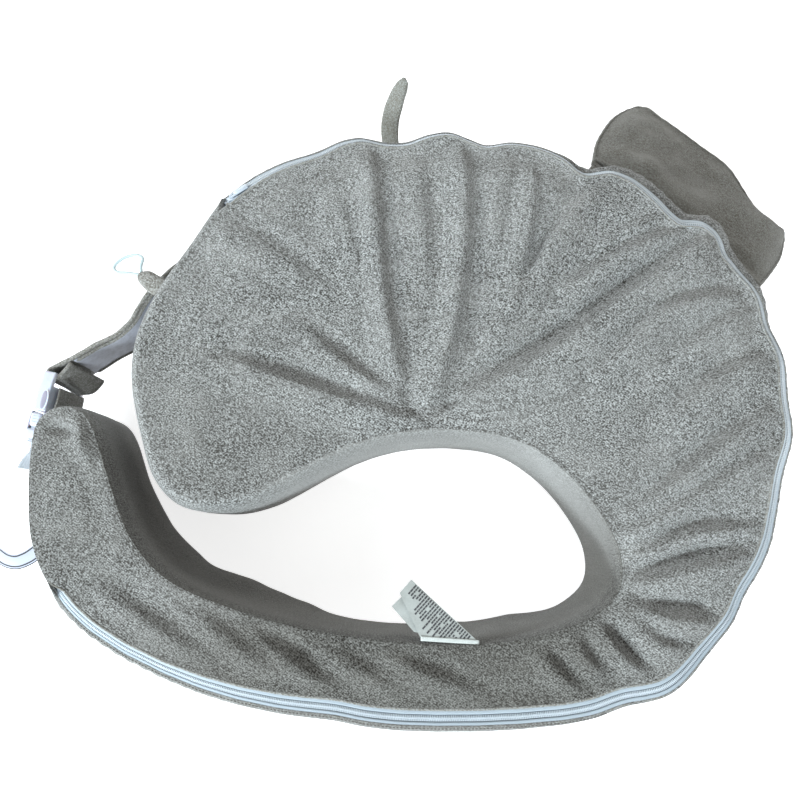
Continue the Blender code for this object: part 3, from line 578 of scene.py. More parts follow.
ZIPPED = (1 - step_up(ALONG, ZIP_LENGTH - 0.004, ZIP_LENGTH + 0.012)) * step_up(
    np.minimum(ALONG, 0.02), -0.006, 0.004
)
ZIPPED[ALONG > ROUND - 0.014] = step_up(ALONG[ALONG > ROUND - 0.014], ROUND - 0.012, ROUND + 0.004)


def cover_edges():
    """(lower edge, upper edge) of the gap in the cover, each as (outward, height) round the outline."""
    along = np.where(ALONG > ROUND - 0.05, 0.0, np.minimum(ALONG, ZIP_LENGTH))
    wander, height, slope = zip_line(along)
    reach = knots_at(BAND_HALF, along) * MM
    low = np.stack([wander + reach * np.cos(slope), height - reach * np.sin(slope)], 1)
    high = np.stack([wander - reach * np.cos(slope), height + reach * np.sin(slope)], 1)
    inset = knots_at(SEAM_INSET, np.maximum(ALONG, ZIP_LENGTH)) * MM
    seam = np.stack([-inset, np.full(COUNT, 0.1114)], 1)
    z = ZIPPED[:, None]
    return z * low + (1 - z) * seam, z * high + (1 - z) * seam


LOWER, UPPER = cover_edges()


# ---------------------------------------------------------------- cover


def wall():
    """The wall's rows, from under the bottom edge up to the zip or the top seam."""
    pts = np.concatenate([RING, np.zeros((COUNT, 1))], 1)
    bulge = 2.2 * MM + 1.3 * MM * waves(pts, 0.09, 1)
    bulge = bulge * (0.45 + 0.55 * ZIPPED)
    seam_dip = 0.25 * MM
    splay = step_up(ALONG, 1.57, 1.66) * (1 - step_up(ALONG, 1.74, 1.82)) + 0.5 * step_up(ALONG, 1.84,
        1.90) * (1 - step_up(ALONG, 1.95, 2.0))
    splay = splay * (9 * MM + 5 * MM * waves(pts, 0.05, 17, 2))
    fixed = [
        (-10 * MM, 1.4 * MM), (-5 * MM, 0.6 * MM), (-2.2 * MM, 1.4 * MM), (-0.6 * MM, 3.6 * MM),
        (0.9 * MM, 9 * MM),
    ]  # fmt: skip
    knots = [np.tile(k, (COUNT, 1)) + np.stack([splay, 0 * splay], 1) for k in fixed]
    for z, share, foot in ((0.022, 0.75, 0.85), (0.040, 1.0, 0.5), (0.058, 1.0, 0.2), (0.074, 0.85, 0.05)):
        knots.append(np.stack([bulge * share + splay * foot, np.full(COUNT, z)], 1))
    z = ZIPPED[:, None]
    lip = (step_up(ALONG, 0.84, 1.0) * ZIPPED)[:, None]
    beside = np.linalg.norm(RING - [0.22985, 0.13911], axis=1)
    shelf = (9 * MM * np.clip(1 - (beside / 0.118) ** 2, 0, 1) ** 0.6)[:, None] * [1, 0]
    knots[-1] += shelf * 0.35
    zipped_high = LOWER + [0.6 * MM, -8 * MM] + lip * [2.9 * MM, -1.0 * MM] + shelf
    seam_high = np.stack([np.full(COUNT, 0.6 * MM), np.full(COUNT, 0.0925)], 1)
    knots.append(z * zipped_high + (1 - z) * seam_high)
    knots.append(z * (LOWER + [1.3 * MM, -3 * MM] + lip * [2.9 * MM, -0.8 * MM] + 0.85 * shelf)
        + (1 - z) * np.stack([-0.3 * MM + 0.12 * LOWER[:, 0], 0.1040 - 0.25 * (-LOWER[:, 0] - 2.5 * MM)], 1))
    inset = -LOWER[:, 0]
    roll = np.stack([-0.40 * np.maximum(inset, 2 * MM), 0.1092 - 0.08 * (inset - 2.5 * MM)], 1)
    knots.append(z * (LOWER + [1.5 * MM, 0.0] + lip * [2.0 * MM, -0.3 * MM] + 0.35 * shelf) + (1 - z) * roll)
    roll = np.stack([-0.74 * np.maximum(inset, 2 * MM), 0.1114 + 0 * inset], 1)
    knots.append(z * (LOWER + [0.5 * MM, 0.9 * MM] + lip * [0.7 * MM, 0.1 * MM]) + (1 - z) * roll)
    knots.append(z * (LOWER + [-0.8 * MM, 0.5 * MM]) + (1 - z) * (LOWER + [0.0, 0.0]))
    knots.append(z * (LOWER + [-0.9 * MM, -0.6 * MM]) + (1 - z) * (LOWER + [-1.5 * MM, -seam_dip]))
    return np.stack(knots, 1)


def rows_between(knots, rows):
    """Catmull-Rom rows through knots of shape (points, knots, 2)."""
    count = knots.shape[1]
    at = np.linspace(0, count - 1, rows)
    i = np.clip(at.astype(int), 0, count - 2)
    t = (at - i)[None, :, None]
    k = lambda j: knots[:, np.clip(j, 0, count - 1)]
    a, b, c, d = k(i - 1), k(i), k(i + 1), k(i + 2)
    return 0.5 * (2 * b + (c - a) * t + (2 * a - 5 * b + 4 * c - d) * t**2 + (3 * b - a - 3 * c + d) * t**3)


def folds_height(points):
    """How far the top panel's folds lift each plan point."""
    lift = np.zeros(len(points))
    for line, tall, steep, gentle in FOLDS:
        tall, steep, gentle = tall * (1.75 if line[-1][0] > 70 else 1.5), steep * 1.3, gentle * 1.35
        path = curve_through(np.array(line, float) * MM, 0.004)
        best = np.full(len(points), 9.0)
        side = np.zeros(len(points))
        share = np.zeros(len(points))
        for i, (a, b) in enumerate(zip(path[:-1], path[1:])):
            d = b - a
            t = np.clip((points - a) @ d / (d @ d), 0, 1)
            gap = points - a - t[:, None] * d
            r = np.linalg.norm(gap, axis=1)
            near = r < best
            normal = np.array([-d[1], d[0]]) / np.linalg.norm(d)
            if normal @ LIGHT_SIDE < 0:
                normal = -normal
            best[near] = r[near]
            side[near] = np.sign(gap[near] @ normal)
            share[near] = (i + t[near]) / (len(path) - 1)
        fade = np.sin(np.pi * np.clip(share * 0.86 + 0.07, 0, 1)) ** 0.7
        width = np.where(side > 0, gentle, steep) * MM
        lift += 2.15 * tall * MM * fade * (np.exp(-((best / width) ** 2))
            - 0.45 * np.exp(-(((best - 1.9 * steep * MM) / (steep * MM)) ** 2)) * (side < 0))
    return lift


def dents(points):
    """Hollows where the cover sinks: by the arm's tip, and where the folds gather."""
    depth = np.zeros(len(points))
    for (x0, y0), (x1, y1), deep, width in (
        ((-283, -44), (-262, -47), 5.5, 5.0), ((-247, -50), (-243, -66), 3.0, 6),
        ((-250, -75), (-238, -110), 1.8, 12), ((-8, -30), (40, -30), 1.2, 10),
        ((215, -160), (165, -172), 1.6, 6),
    ):  # fmt: skip
        a, d = np.array([x0, y0]) * MM, np.array([x1 - x0, y1 - y0]) * MM
        t = np.clip((points - a) @ d / (d @ d), 0, 1)
        r = np.linalg.norm(points - a - t[:, None] * d, axis=1)
        depth += deep * MM * np.exp(-((r / (width * MM)) ** 2))
    return depth


def top_panel():
    """The sherpa panel: rings along its edge, then an even field of points, joined by triangles."""
    edge_out, edge_z = UPPER[:, 0], UPPER[:, 1]
    rings, heights = [], []
    for inward, rise, at_seam in (
        (0.0, -1.1, 0.0), (0.5, -0.1, 0.04), (1.2, 0.55, 0.1), (2.1, 0.75, 0.2), (3.4, 0.6, 0.3),
        (5.0, 0.4, 0.4),
    ):  # fmt: skip
        p = RING + OUT * (edge_out - inward * MM)[:, None]
        rings.append(p)
        heights.append(edge_z + (rise * ZIPPED + at_seam * (1 - ZIPPED)) * MM)
    step = 2.3 * MM
    low, high = RING.min(0), RING.max(0)
    ys = np.arange(low[1], high[1], step * math.sqrt(3) / 2)
    field = np.array([(x + (j % 2) * step / 2, y) for j, y in enumerate(ys)
            for x in np.arange(low[0], high[0], step)])
    inner = rings[-1]
    clear = inner[::2]
    keep = inside(field, inner)
    field = field[keep]
    gap = np.full(len(field), 9.0)
    for i in range(0, len(clear), 20):
        chunk = clear[i : i + 20]
        gap = np.minimum(gap, np.linalg.norm(field[:, None] - chunk[None], axis=2).min(1))
    field = field[gap > 1.7 * MM]
    gap = gap[gap > 1.7 * MM]
    ring_points = np.vstack(rings)
    points = np.vstack([ring_points, field])
    edges = [
        (r * COUNT + i, r * COUNT + (i + 1) % COUNT) for r in (0, len(rings) - 1) for i in range(COUNT)
    ]
    found = delaunay_2d_cdt([Vector(p) for p in np.vstack([rings[-1], field])], edges[:COUNT], [], 1, 1e-7)
    base = (len(rings) - 1) * COUNT
    plan = np.array([tuple(p) for p in found[0]])
    if len(plan) != COUNT + len(field):
        raise RuntimeError("the top panel's points changed")
    faces = [tuple(base + i for i in f) for f in found[2]]
    ring_faces = grid_faces(len(rings), COUNT, False, True)
    z_ring = np.concatenate(heights)
    near = np.argmin(np.linalg.norm(field[:, None, ::1][:1] - inner[None], axis=2), axis=1) if False else None
    z_field = np.full(len(field), TOP + 0.2 * MM)
    all_gap = np.r_[np.repeat([0, 0.5, 1.2, 2.1, 3.4, 5.0], COUNT) * MM, gap + 5 * MM]
    z = np.r_[z_ring, z_field]
    ease = step_up(all_gap, 4.5 * MM, 30 * MM)
    near_edge = np.zeros(len(points))
    near_edge[: len(z_ring)] = z_ring
    nearest = np.empty(len(field), int)
    for i in range(0, len(field), 3000):
        part = field[i : i + 3000]
        nearest[i : i + 3000] = np.argmin(((part[:, None] - inner[None, ::3]) ** 2).sum(2), axis=1) * 3
    z_edge = np.r_[z_ring, (UPPER[:, 1] + 0.4 * MM)[nearest]]
    along = np.r_[np.tile(ALONG, len(rings)), ALONG[nearest]]
    z = z_edge * (1 - ease) + (TOP + 0.1 * MM) * ease
    flat = np.concatenate([points, np.zeros((len(points), 1))], 1)
    inward = step_up(all_gap, 0.3 * MM, 16 * MM)
    z += folds_height(points) * (0.30 + 0.70 * inward) * step_up(all_gap, -1 * MM, 4 * MM)
    z -= dents(points) * inward
    z += 1.3 * MM * waves(flat, 0.085, 4, 2) * inward
    z += 0.55 * MM * waves(flat * [1, 0.45, 1], 0.020, 6, 2) * inward
    pucker = np.sin(2 * np.pi * along / 0.0092 + 1.4 * np.sin(along * 55))
    amount = step_up(along, 0.36, 0.46) * (1 - step_up(along, 0.74, 0.82)) + 0.25 * (along < ZIP_LENGTH)
    fade = np.exp(-((all_gap / (15 * MM)) ** 2)) * step_up(all_gap, -0.5 * MM, 3 * MM)
    z += 0.62 * MM * pucker * amount * fade
    over = np.maximum(z - TOP, 0)
    z = np.minimum(z, TOP) + 12 * MM * np.tanh(over / (12 * MM))
    made = add("cover_top", np.concatenate([points, z[:, None]], 1),
        [tuple(f[::-1]) for f in ring_faces] + faces, FLEECE)
    # Painted shade on the top panel: the arm's front and a little of the wide end.
    return paint_fleece_shade(made)


def inside(points, ring):
    x, y = points[:, 0], points[:, 1]
    result = np.zeros(len(points), bool)
    for a, b in zip(ring, np.roll(ring, -1, 0)):
        if a[1] == b[1]:
            continue
        crosses = (a[1] > y) != (b[1] > y)
        result ^= crosses & (x < (b[0] - a[0]) * (y - a[1]) / (b[1] - a[1]) + a[0])
    return result


def cover():
    knots = wall()
    rows = 46
    profile = rows_between(knots, rows)
    p = RING[:, None] + OUT[:, None] * profile[..., :1]
    z = profile[..., 1:]
    points = np.concatenate([p, z], 2)
    flat = points.reshape(-1, 3)
    share = np.sin(np.pi * np.clip((z[..., 0] - 0.004) / 0.098, 0, 1))
    ripple = (1.0 * MM * waves(flat * [1, 1, 0.5], 0.045, 11, 3)).reshape(share.shape) * share
    inner_arm = (step_up(ALONG, 1.56, 1.62) * (1 - step_up(ALONG, 1.94, 2.0)))[:, None]
    ripple += inner_arm * share * (2.4 * MM * waves(flat * [1, 1, 0.25], 0.055, 12, 2)).reshape(share.shape)
    pucker = 0.45 * MM * np.sin(2 * np.pi * ALONG / 0.011 + 1.2 * np.sin(ALONG * 47))[:, None]
    ripple += pucker * np.exp(-(((z[..., 0] - 0.098) / 0.012) ** 2)) * ZIPPED[:, None] * (z[..., 0] < 0.101)
    points[..., :2] += OUT[:, None] * ripple[..., None]
    start = int(round(ZIP_LENGTH / ROUND * COUNT)) + 6
    stop = COUNT - 4
    outer = np.roll(points, 4, 0)[: start + 5]
    inner = points[start : stop + 1]
    # Nubs show on the rims and on the wide end; lower down the walls are brushed smooth.
    worn = 0.62 * (1 - step_up(z[..., 0], 0.080, 0.104)) * np.ones((COUNT, 1))
    wide = step_up(ALONG, 2.33, 2.42) * (1 - step_up(ALONG, 2.70, 2.74))
    worn = np.maximum(worn * (1 - 0.8 * wide[:, None]),
        0.55 * (step_up(ALONG, 2.02, 2.08) * (1 - step_up(ALONG, 2.33, 2.42)))[:, None] * np.ones(worn.shape))
    front = (step_up(ALONG, 0.84, 1.0) * ZIPPED)[:, None] * np.ones(worn.shape)
    worn = np.maximum(worn, 0.55 * front)
    outer_worn, inner_worn = np.roll(worn, 4, 0)[: start + 5], worn[start : stop + 1]
    # The outer wall takes a little of the same painted shade.
    settle(paint_fleece_shade(soften(sheet_of("cover_wall_outer", outer, FLEECE), outer_worn), 0.3), "pillow", "fleece",
        "cover_outer_wall")
    wall_piece = soften(sheet_of("cover_wall_inner", inner, FLEECE), inner_worn)
    # Painted shade on the inner wall, strongest round the arm's inner side.
    shaded = np.interp(ALONG, [1.50, 1.57, 1.90, 2.00, 2.06, 2.14], [0.1, 1.0, 1.0, 1.15, 0.9, 0])[:,
        None] * np.ones(rows)
    settle(tone(wall_piece, shaded[start : stop + 1]), "pillow", "fleece", "cover_inner_wall")
    seam_stitches(points)
    top = settle(top_panel(), "pillow", "fleece", "cover_top_panel")
    return top, points


def seam_stitches(points):
    """Dark thread ends along the inner seam, where the wall meets the top panel."""
    rng = np.random.default_rng(5)
    at = np.arange(1.545, 2.30, 0.0034)
    along = at + rng.normal(0, 0.25 * MM, len(at))
    inset = np.interp(along, ALONG, -UPPER[:, 0])
    z = np.interp(along, ALONG, UPPER[:, 1])
    middle, n = on_ring(along, -inset - 1.1 * MM, z + 0.30 * MM)
    way = np.stack([n[:, 1], -n[:, 0], np.zeros(len(n))], 1)
    out = np.concatenate([n, np.zeros((len(n), 1))], 1)
    up = np.array([0, 0, 1.0])
    shape = []
    for dx, half in ((-0.95, 0.10), (-0.6, 0.26), (0.6, 0.26), (0.95, 0.10)):
        for k in range(6):
            a = math.pi / 3 * k
            shape.append((dx, half * math.cos(a), half * 0.8 * math.sin(a)))
    shape = np.array(shape) * MM
    pts = middle[:, None] + way[:, None] * shape[None, :, :1] + out[:, None] * shape[None, :,
        1:2] + up * shape[None, :, 2:]
    one = [tuple(f) for f in grid_faces(4, 6, False, True)] + [(5, 4, 3, 2, 1, 0), (18, 19, 20, 21, 22, 23)]
    faces = [tuple(i + 24 * k for i in f) for k in range(len(at)) for f in one]
    settle(add("seam_stitches", pts.reshape(-1, 3), faces, STITCH_DARK), "pillow", "fleece")


def bottom_and_foam():
    def slab(name, insets, finish, step, flip_low=True):
        """Rings of the outline at (inset, z), closed with a triangulated cap below and above."""
        ring = around(RING, step)
        way = unit(np.roll(ring, -1, 0) - np.roll(ring, 1, 0))
        out = np.stack([-way[:, 1], way[:, 0]], 1)
        levels = [np.concatenate([ring - out * d, np.full((step, 1), z)], 1) for d, z in insets]
        points = np.vstack(levels)
        faces = [tuple(f[::-1]) for f in grid_faces(len(levels), step, False, True)]
        for level, reverse in ((0, True), (len(levels) - 1, False)):
            cap = levels[level][:, :2]
            grid = np.array([(x, y) for x in np.arange(-0.3, 0.31, 0.012)
                    for y in np.arange(-0.28, 0.22, 0.012)])
            grid = grid[inside(grid, cap)]
            gap = np.linalg.norm(grid[:, None] - cap[None], axis=2).min(1)
            grid = grid[gap > 0.006]
            both = np.vstack([cap, grid])
            found = delaunay_2d_cdt([Vector(p) for p in both], [(i, (i + 1) % step) for i in range(step)], [],
                1, 1e-7)
            first = len(points)
            z = insets[level][1]
            sag = 0.5 * MM * waves(np.c_[grid, np.zeros(len(grid))], 0.05, 21) * (1 if level else 0.3)
            points = np.vstack([points, np.c_[grid, z + np.abs(sag) * (1 if level == 0 else -1)]])
            names = lambda i: level * step + i if i < step else first + i - step
            faces += [tuple(names(i) for i in (f[::-1] if reverse else f)) for f in found[2]]
        return add(name, points, faces, finish)

    bottom = slab(
        "cover_bottom",
        ((9.5 * MM, 0.9 * MM), (8.5 * MM, 0.4 * MM), (8.0 * MM, 1.0 * MM), (7.4 * MM, 1.6 * MM),
            (9 * MM, 2.4 * MM), (12 * MM, 2.6 * MM)),
        FLEECE, 700,
    )  # fmt: skip
    settle(bottom, "pillow", "fleece", "cover_bottom_panel")
    foam = slab(
        "foam_core_soft",
        ((14 * MM, 3.5 * MM), (8 * MM, 4.5 * MM), (4.5 * MM, 9 * MM), (3.0 * MM, 20 * MM),
            (3.5 * MM, 74 * MM),
         (13 * MM, 89 * MM), (22 * MM, 98 * MM), (30 * MM, 102 * MM), (42 * MM, 103 * MM)),
        FOAM, 420,
    )  # fmt: skip
    settle(foam, "pillow", "foam", "foam_core")


# ---------------------------------------------------------------- zip


def zip_frames(along):
    """Middle, tangent, climb and face directions of the zip's band."""
    wander, height, slope = zip_line(along)
    middle, _ = on_ring(along, wander, height)
    way = unit(np.gradient(middle, axis=0))
    _, n = on_ring(along)
    n3 = np.concatenate([n, np.zeros((len(n), 1))], 1)
    n3 = unit(n3 - way * (n3 * way).sum(1, keepdims=True))
    up = np.cross(way, n3) * -1
    up = np.where(up[:, 2:] < 0, -up, up)
    c, s = np.cos(slope)[:, None], np.sin(slope)[:, None]
    return middle, way, -n3 * c + up * s, n3 * s + up * c


def zip_parts():
    along = np.linspace(-0.010, ZIP_LENGTH + 0.006, 770)
    middle, way, climb, face = zip_frames(along)
    half = knots_at(BAND_HALF, along) * MM
    # Each tape: a flat woven strip.
    for name, side, node in (("zip_tape_lower", -1, "zipper_lower_tape"),
            ("zip_tape_upper", 1, "zipper_upper_tape")):
        near, far = np.full(len(along), 2.75 * MM) * side, (half + 0.1 * MM) * side
        low, high = (far, near) if side < 0 else (near, far)
        across = np.stack([low, low, low * 0.7 + high * 0.3, low * 0.3 + high * 0.7, high, high], 1)
        rise = np.tile(np.array([-0.35, 0.28, 0.36, 0.36, 0.28, -0.35]) * MM, (len(along), 1))
        body = swept(name, middle, climb, face, np.stack([across, rise], 2), TAPE)
        # Painted shade on the tapes, most along the front.
        settle(paint_zip_front_shade(body), "pillow", "zip_tape", node)
    # A dark strip under the teeth: painted shade where the tapes fold.
    gutter = np.array([(-3.1, -0.9), (-3.1, -0.2), (3.1, -0.2), (3.1, -0.9)]) * MM
    settle(swept("zip_gutter", middle, climb, face, gutter, ZIP_SHADOW), "pillow", "zip_tape")
    teeth(along)
    topstitch()
    # Thin dark cords near both tapes' outer edges: painted shadow.
    for name, side in (("zip_edge_line_lower", -1), ("zip_edge_line_upper", 1)):
        cord = round_section(0.75 * MM, 0.5 * MM, 0.24 * MM,
            2)[None] + np.stack([side * (half - 0.5 * MM), 0 * half + 0.3 * MM], 1)[:, None]
        settle(swept(name, middle, climb, face, cord, ZIP_SHADOW), "pillow", "zip_tape")


def topstitch():
    """Dark thread ends in the crease between the lower tape and the cover's front lip."""
    along = np.arange(0.90, ZIP_LENGTH - 0.02, 0.003)
    out = np.interp(along, ALONG, LOWER[:, 0]) + 1.5 * MM
    place, _ = on_ring(along, out, np.interp(along, ALONG, LOWER[:, 1]) + 0.9 * MM)
    settle(dashes("zip_topstitch", place, 2.8 * MM, 0.42 * MM, STITCH_DARK), "pillow", "fleece")


def teeth(along):
    """Two rows of moulded coil turns, each a small rounded bar that leans past its neighbour."""
    pitch = 1.35 * MM
    count = int(ZIP_LENGTH / pitch)
    for row, (name, node) in enumerate((("zip_coil_lower", "zipper_lower_coil"),
                ("zip_coil_upper", "zipper_upper_coil"))):
        at = (np.arange(count) + (0.25 if row == 0 else 0.75)) * pitch
        middle, way, climb, face = zip_frames(at)
        side = -1 if row == 0 else 1
        shape = []
        for across, rise, half, tall in ((2.15, 0.05, 0.34, 0.30), (1.7, 0.30, 0.42, 0.42),
                (0.6, 0.42, 0.46, 0.46), (-0.35, 0.36, 0.40, 0.40), (-0.75, 0.22, 0.24, 0.26)):
            for dx, dz in ((-1, 0), (-0.6, 0.8), (0.6, 0.8), (1, 0), (0.6, -0.8), (-0.6, -0.8)):
                shape.append((dx * half, side * across, rise + dz * tall))
        shape = np.array(shape) * MM
        pts = middle[:, None] + way[:, None] * shape[None, :, :1] + climb[:, None] * shape[None, :,
            1:2] + face[:, None] * shape[None, :, 2:]
        one = [tuple(f) for f in grid_faces(5, 6, False, True)] + [(0, 1, 2, 3, 4, 5),
            (29, 28, 27, 26, 25, 24)]
        faces = [tuple(i + k * 30 for i in f) for k in range(count) for f in one]
        # Painted shade on the teeth, most along the front.
        settle(paint_zip_front_shade(add(name, pts.reshape(-1, 3), faces, COIL)), "pillow", "zip_coil", node)


def zip_hems():
    """Rolled fleece lips along both edges of the gap, which close on each other past the zip's ends."""
    along = np.linspace(-0.018, ZIP_LENGTH + 0.018, 920)
    wrap = lambda values: np.interp(along % ROUND, np.r_[ALONG, ROUND], np.r_[values, values[0]])
    for name, edge, sign in (("hem_roll_lower", LOWER, -1), ("hem_roll_upper", UPPER, 1)):
        centre, n = on_ring(along, wrap(edge[:, 0]) + 0.4 * MM * sign * -1 * wrap(ZIPPED),
            wrap(edge[:, 1]) + (0.5 * MM + 0.15 * MM * sign) * (0.2 + 0.8 * wrap(ZIPPED)) - 0.3 * MM)
        centre[:, 2] += 0.3 * MM * waves(centre, 0.012, 31 + sign, 2)
        n3 = np.concatenate([n, np.zeros((len(n), 1))], 1)
        size = 0.45 + 0.55 * wrap(ZIPPED)
        section = round_section(2.1 * MM, 1.7 * MM, 0.8 * MM, 3)[None] * size[:, None, None]
        settle(swept(name, centre, n3, np.tile([0.0, 0, 1], (len(n), 1)), section, FLEECE_EDGE), "pillow",
            "fleece")


def slider():
    body = bevelled_copy("zip_slider_body", "zipper_slider", 0.35 * MM, SLIDER)
    settle(body, "zip_slider", "zip_coil", "zipper_slider")
    x = Vector((-0.8241, -0.5664, 0.0))
    y = Vector((0.4217, -0.6136, 0.6675))
    z = Vector((-0.3781, 0.5501, 0.7446))
    hinge = Vector((-0.14698, 0.14823, 0.10714))
    to_row = Matrix(((x[0], y[0], z[0], hinge[0]), (x[1], y[1], z[1], hinge[1]), (x[2], y[2], z[2], hinge[2]),
            (0, 0, 0, 1)))
    rings = []
    for r, t in ((0.0, 1.15), (0.35, 1.3), (0.75, 1.2), (0.95, 0.75), (1.0, 0.0), (0.95, -0.75), (0.75, -1.1),
            (0.35, -1.0), (0.0, -0.95)):
        ring = []
        for k in range(40):
            a = 2 * math.pi * k / 40
            e = 2 / 2.6
            cx = math.copysign(abs(math.cos(a)) ** e, math.cos(a))
            cy = math.copysign(abs(math.sin(a)) ** e, math.sin(a))
            dip = 0.25 * math.exp(-((r - 0.45) ** 2) * 12) if t > 0 else 0
            ring.append(to_row @ Vector((-9.6 * MM + 7.2 * MM * r * cx, 3.5 * MM * r * cy,
                        (t - dip) * MM + 0.4 * MM)))
        rings.append([tuple(p) for p in ring])
    puck = sheet_of("zip_pull_puck", np.array(rings), SLIDER, False, True)
    settle(puck, "zip_pull", "zip_coil", "zipper_pull")
    fork = bevelled_copy("zip_pull_fork", "zipper_pull", 0.25 * MM, SLIDER)
    settle(fork, "zip_pull", "zip_coil")
    for name, node in (("zip_stop_start", "zipper_top_stop"), ("zip_stop_end", "zipper_bottom_stop")):
        settle(bevelled_copy(name, node, 0.4 * MM, SLIDER), "pillow", "zip_coil", node)


# ---------------------------------------------------------------- pocket

POCKET = Matrix(((0.774, 0.5428, 0.3261, 0.22985), (-0.6332, 0.6634, 0.3986, 0.13911),
        (0, -0.515, 0.8572, 0.066), (0, 0, 0, 1)))
POCKET_SIDE = ((-88, 3, 88), (-96, 24, 93), (-100, 60, 95), (-99, 92, 92), (-93, 106, 86), (-84, 113, 74))


def pocket():
    """A slack pouch: its outer panel puffs over the back panel, and its mouth faces the pillow."""
    rows = 50
    width = 84
    grid = np.zeros((rows, width, 2))
    share = np.linspace(0, 1, width)
    down = np.linspace(0, 1, rows)
    left = knots_at(((0, -88), (300, -99), (520, -103), (720, -105), (900, -104), (1000, -102)), down) * MM
    right = knots_at(((0, 92), (400, 96), (700, 97), (1000, 93)), down) * MM
    far = knots_at(
        ((0, 117), (22, 129), (55, 136), (150, 138), (380, 139), (600, 137), (700, 127), (800, 116),
            (930, 113), (982, 110), (1000, 99)), share
    ) * MM  # fmt: skip
    grid[..., 0] = left[:, None] + (right - left)[:, None] * share
    grid[..., 1] = 4 * MM + down[:, None] * (far - 4 * MM)[None, :]
    u = np.linspace(0, 1, width)[None, :]
    v = np.linspace(0, 1, rows)[:, None]
    edge = np.clip(np.minimum(np.minimum(u, 1 - u) * 190 * MM, (1 - v) * 117 * MM), 0, None)
    puff = 1 - np.exp(-((edge / (11 * MM)) ** 1.3))
    flat = np.concatenate([grid, np.zeros((rows, width, 1))], 2).reshape(-1, 3)
    soft = waves(flat, 0.05, 51, 3).reshape(rows, width)
    lumps = 4.5 * MM * np.exp(-(((grid[..., 0] + 0.048) / 0.016) ** 2)
        - (((grid[..., 1] - 0.040) / 0.014) ** 2))
    lumps += 3.5 * MM * np.exp(-(((grid[..., 0] - 0.038) / 0.018) ** 2)
        - (((grid[..., 1] - 0.075) / 0.020) ** 2))
    root = np.exp(-(((grid[..., 1] - 0.019) / 0.006) ** 2)) * 3.0 * MM
    rise = 0.35 + 0.65 * step_up(grid[..., 1], 0.006, 0.040)
    front_z = 2.6 * MM + puff * rise * (9.0 * MM + 3.5 * MM * soft) + lumps * puff - root * puff
    front_z = np.minimum(front_z, 15.5 * MM)
    back_z = 1.2 * MM - 1.0 * MM * puff + 0.4 * MM * soft
    first = int(rows * 0.07)

    def placed(z, part):
        local = np.concatenate([part, z[..., None]], 2).reshape(-1, 3)
        world = local @ np.array(POCKET.to_3x3()).T + np.array(POCKET.translation)
        # Its far end lies on the table.
        least = (3.2 * MM + 0.45 * local[:, 2])
        world[:, 2] = least + 3 * MM * np.logaddexp(0, (world[:, 2] - least) / (3 * MM))
        return world.reshape(*part.shape[:2], 3)

    front = placed(front_z, grid)[first:]
    back = placed(back_z, grid)
    front_piece = sheet_of("pocket_front", front, FLEECE_DARK)
    shell = front_piece.modifiers.new("thickness", "SOLIDIFY")
    shell.thickness, shell.offset = 1.6 * MM, -1.0
    settle(front_piece, "pocket", "fleece_dark", "pocket_front_panel")
    back_piece = sheet_of("pocket_back", back, FLEECE_DARK)
    shell = back_piece.modifiers.new("thickness", "SOLIDIFY")
    shell.thickness, shell.offset = 1.6 * MM, 1.0
    settle(back_piece, "pocket", "fleece_dark", "pocket_back_panel")
    # The seam that joins the two panels round three sides.
    ring = np.vstack([placed((front_z + back_z)[..., :] / 2, grid)[:, 0],
            placed((front_z + back_z) / 2, grid)[-1, 1:-1], placed((front_z + back_z) / 2, grid)[::-1, -1]])
    piping("pocket_seam", ring, 1.5 * MM, FLEECE_DARK, "pocket", "fleece_dark")
    mouth = front[0]
    hem = piping("pocket_hem_roll", mouth, 2.0 * MM, FLEECE_DARK, "pocket", "fleece_dark")
    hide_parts("pocket_hem")
    low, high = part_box("pocket_root_strip")
    root = NODES["pocket_root_strip"]
    root_piece = bevelled_copy("pocket_root", "pocket_root_strip", 0.6 * MM, FLEECE_DARK, 2)
    settle(root_piece, "pillow", "fleece_dark", "pocket_root_strip")
    # The sewn fold that joins the strip on the wall to the back panel.
    along = np.array((0.774, -0.6332, 0))
    away = np.array((0.6332, 0.774, 0))
    hinge = np.array(POCKET.translation)
    spine = hinge + along * (np.linspace(-88, 92, 70) * MM)[:, None]
    profile = np.array(((-5, 2.4), (-1, 2.5), (2, 1.9), (4.6, -0.1), (8.3, -2.7), (7.5, -3.9), (3.7, -1.5),
            (1.4, 0.5), (-1, 1.15), (-5, 1.1))) * MM
    fold = swept("pocket_fold", spine, np.tile(away, (70, 1)), np.tile((0, 0, 1.0), (70, 1)), profile,
        FLEECE_DARK)
    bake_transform(fold)


def piping(name, path, radius, finish, body, slot):
    """A soft round roll along a path."""
    path = curve_through(path, 2.0 * MM)
    way = unit(np.gradient(path, axis=0))
    side = unit(np.cross(way, [0, 0, 1.0]))
    up = np.cross(side, way)
    turn = np.linspace(0, 2 * math.pi, 10, endpoint=False)
    swell = 1 + 0.08 * np.sin(np.arange(len(path)) * 1.1)
    section = np.stack([np.cos(turn), np.sin(turn)], 1)[None] * radius * swell[:, None, None]
    return settle(swept(name, path, side, up, section, finish), body, slot)


# ---------------------------------------------------------------- strap and buckle

AXES = Matrix(((0.1822, -0.9833, 0, -0.3010), (0.9833, 0.1822, 0, -0.0262), (0, 0, 1, 0.05), (0, 0, 0, 1)))
BAR_END, BAR_THERE = 29.7 * MM, -30.2 * MM


def in_buckle(local):
    """Row-frame points from the buckle's own x (towards the strap), y (outward of it, negative) and z."""
    local = np.asarray(local, float)
    return local @ np.array(AXES.to_3x3()).T + np.array(AXES.translation)


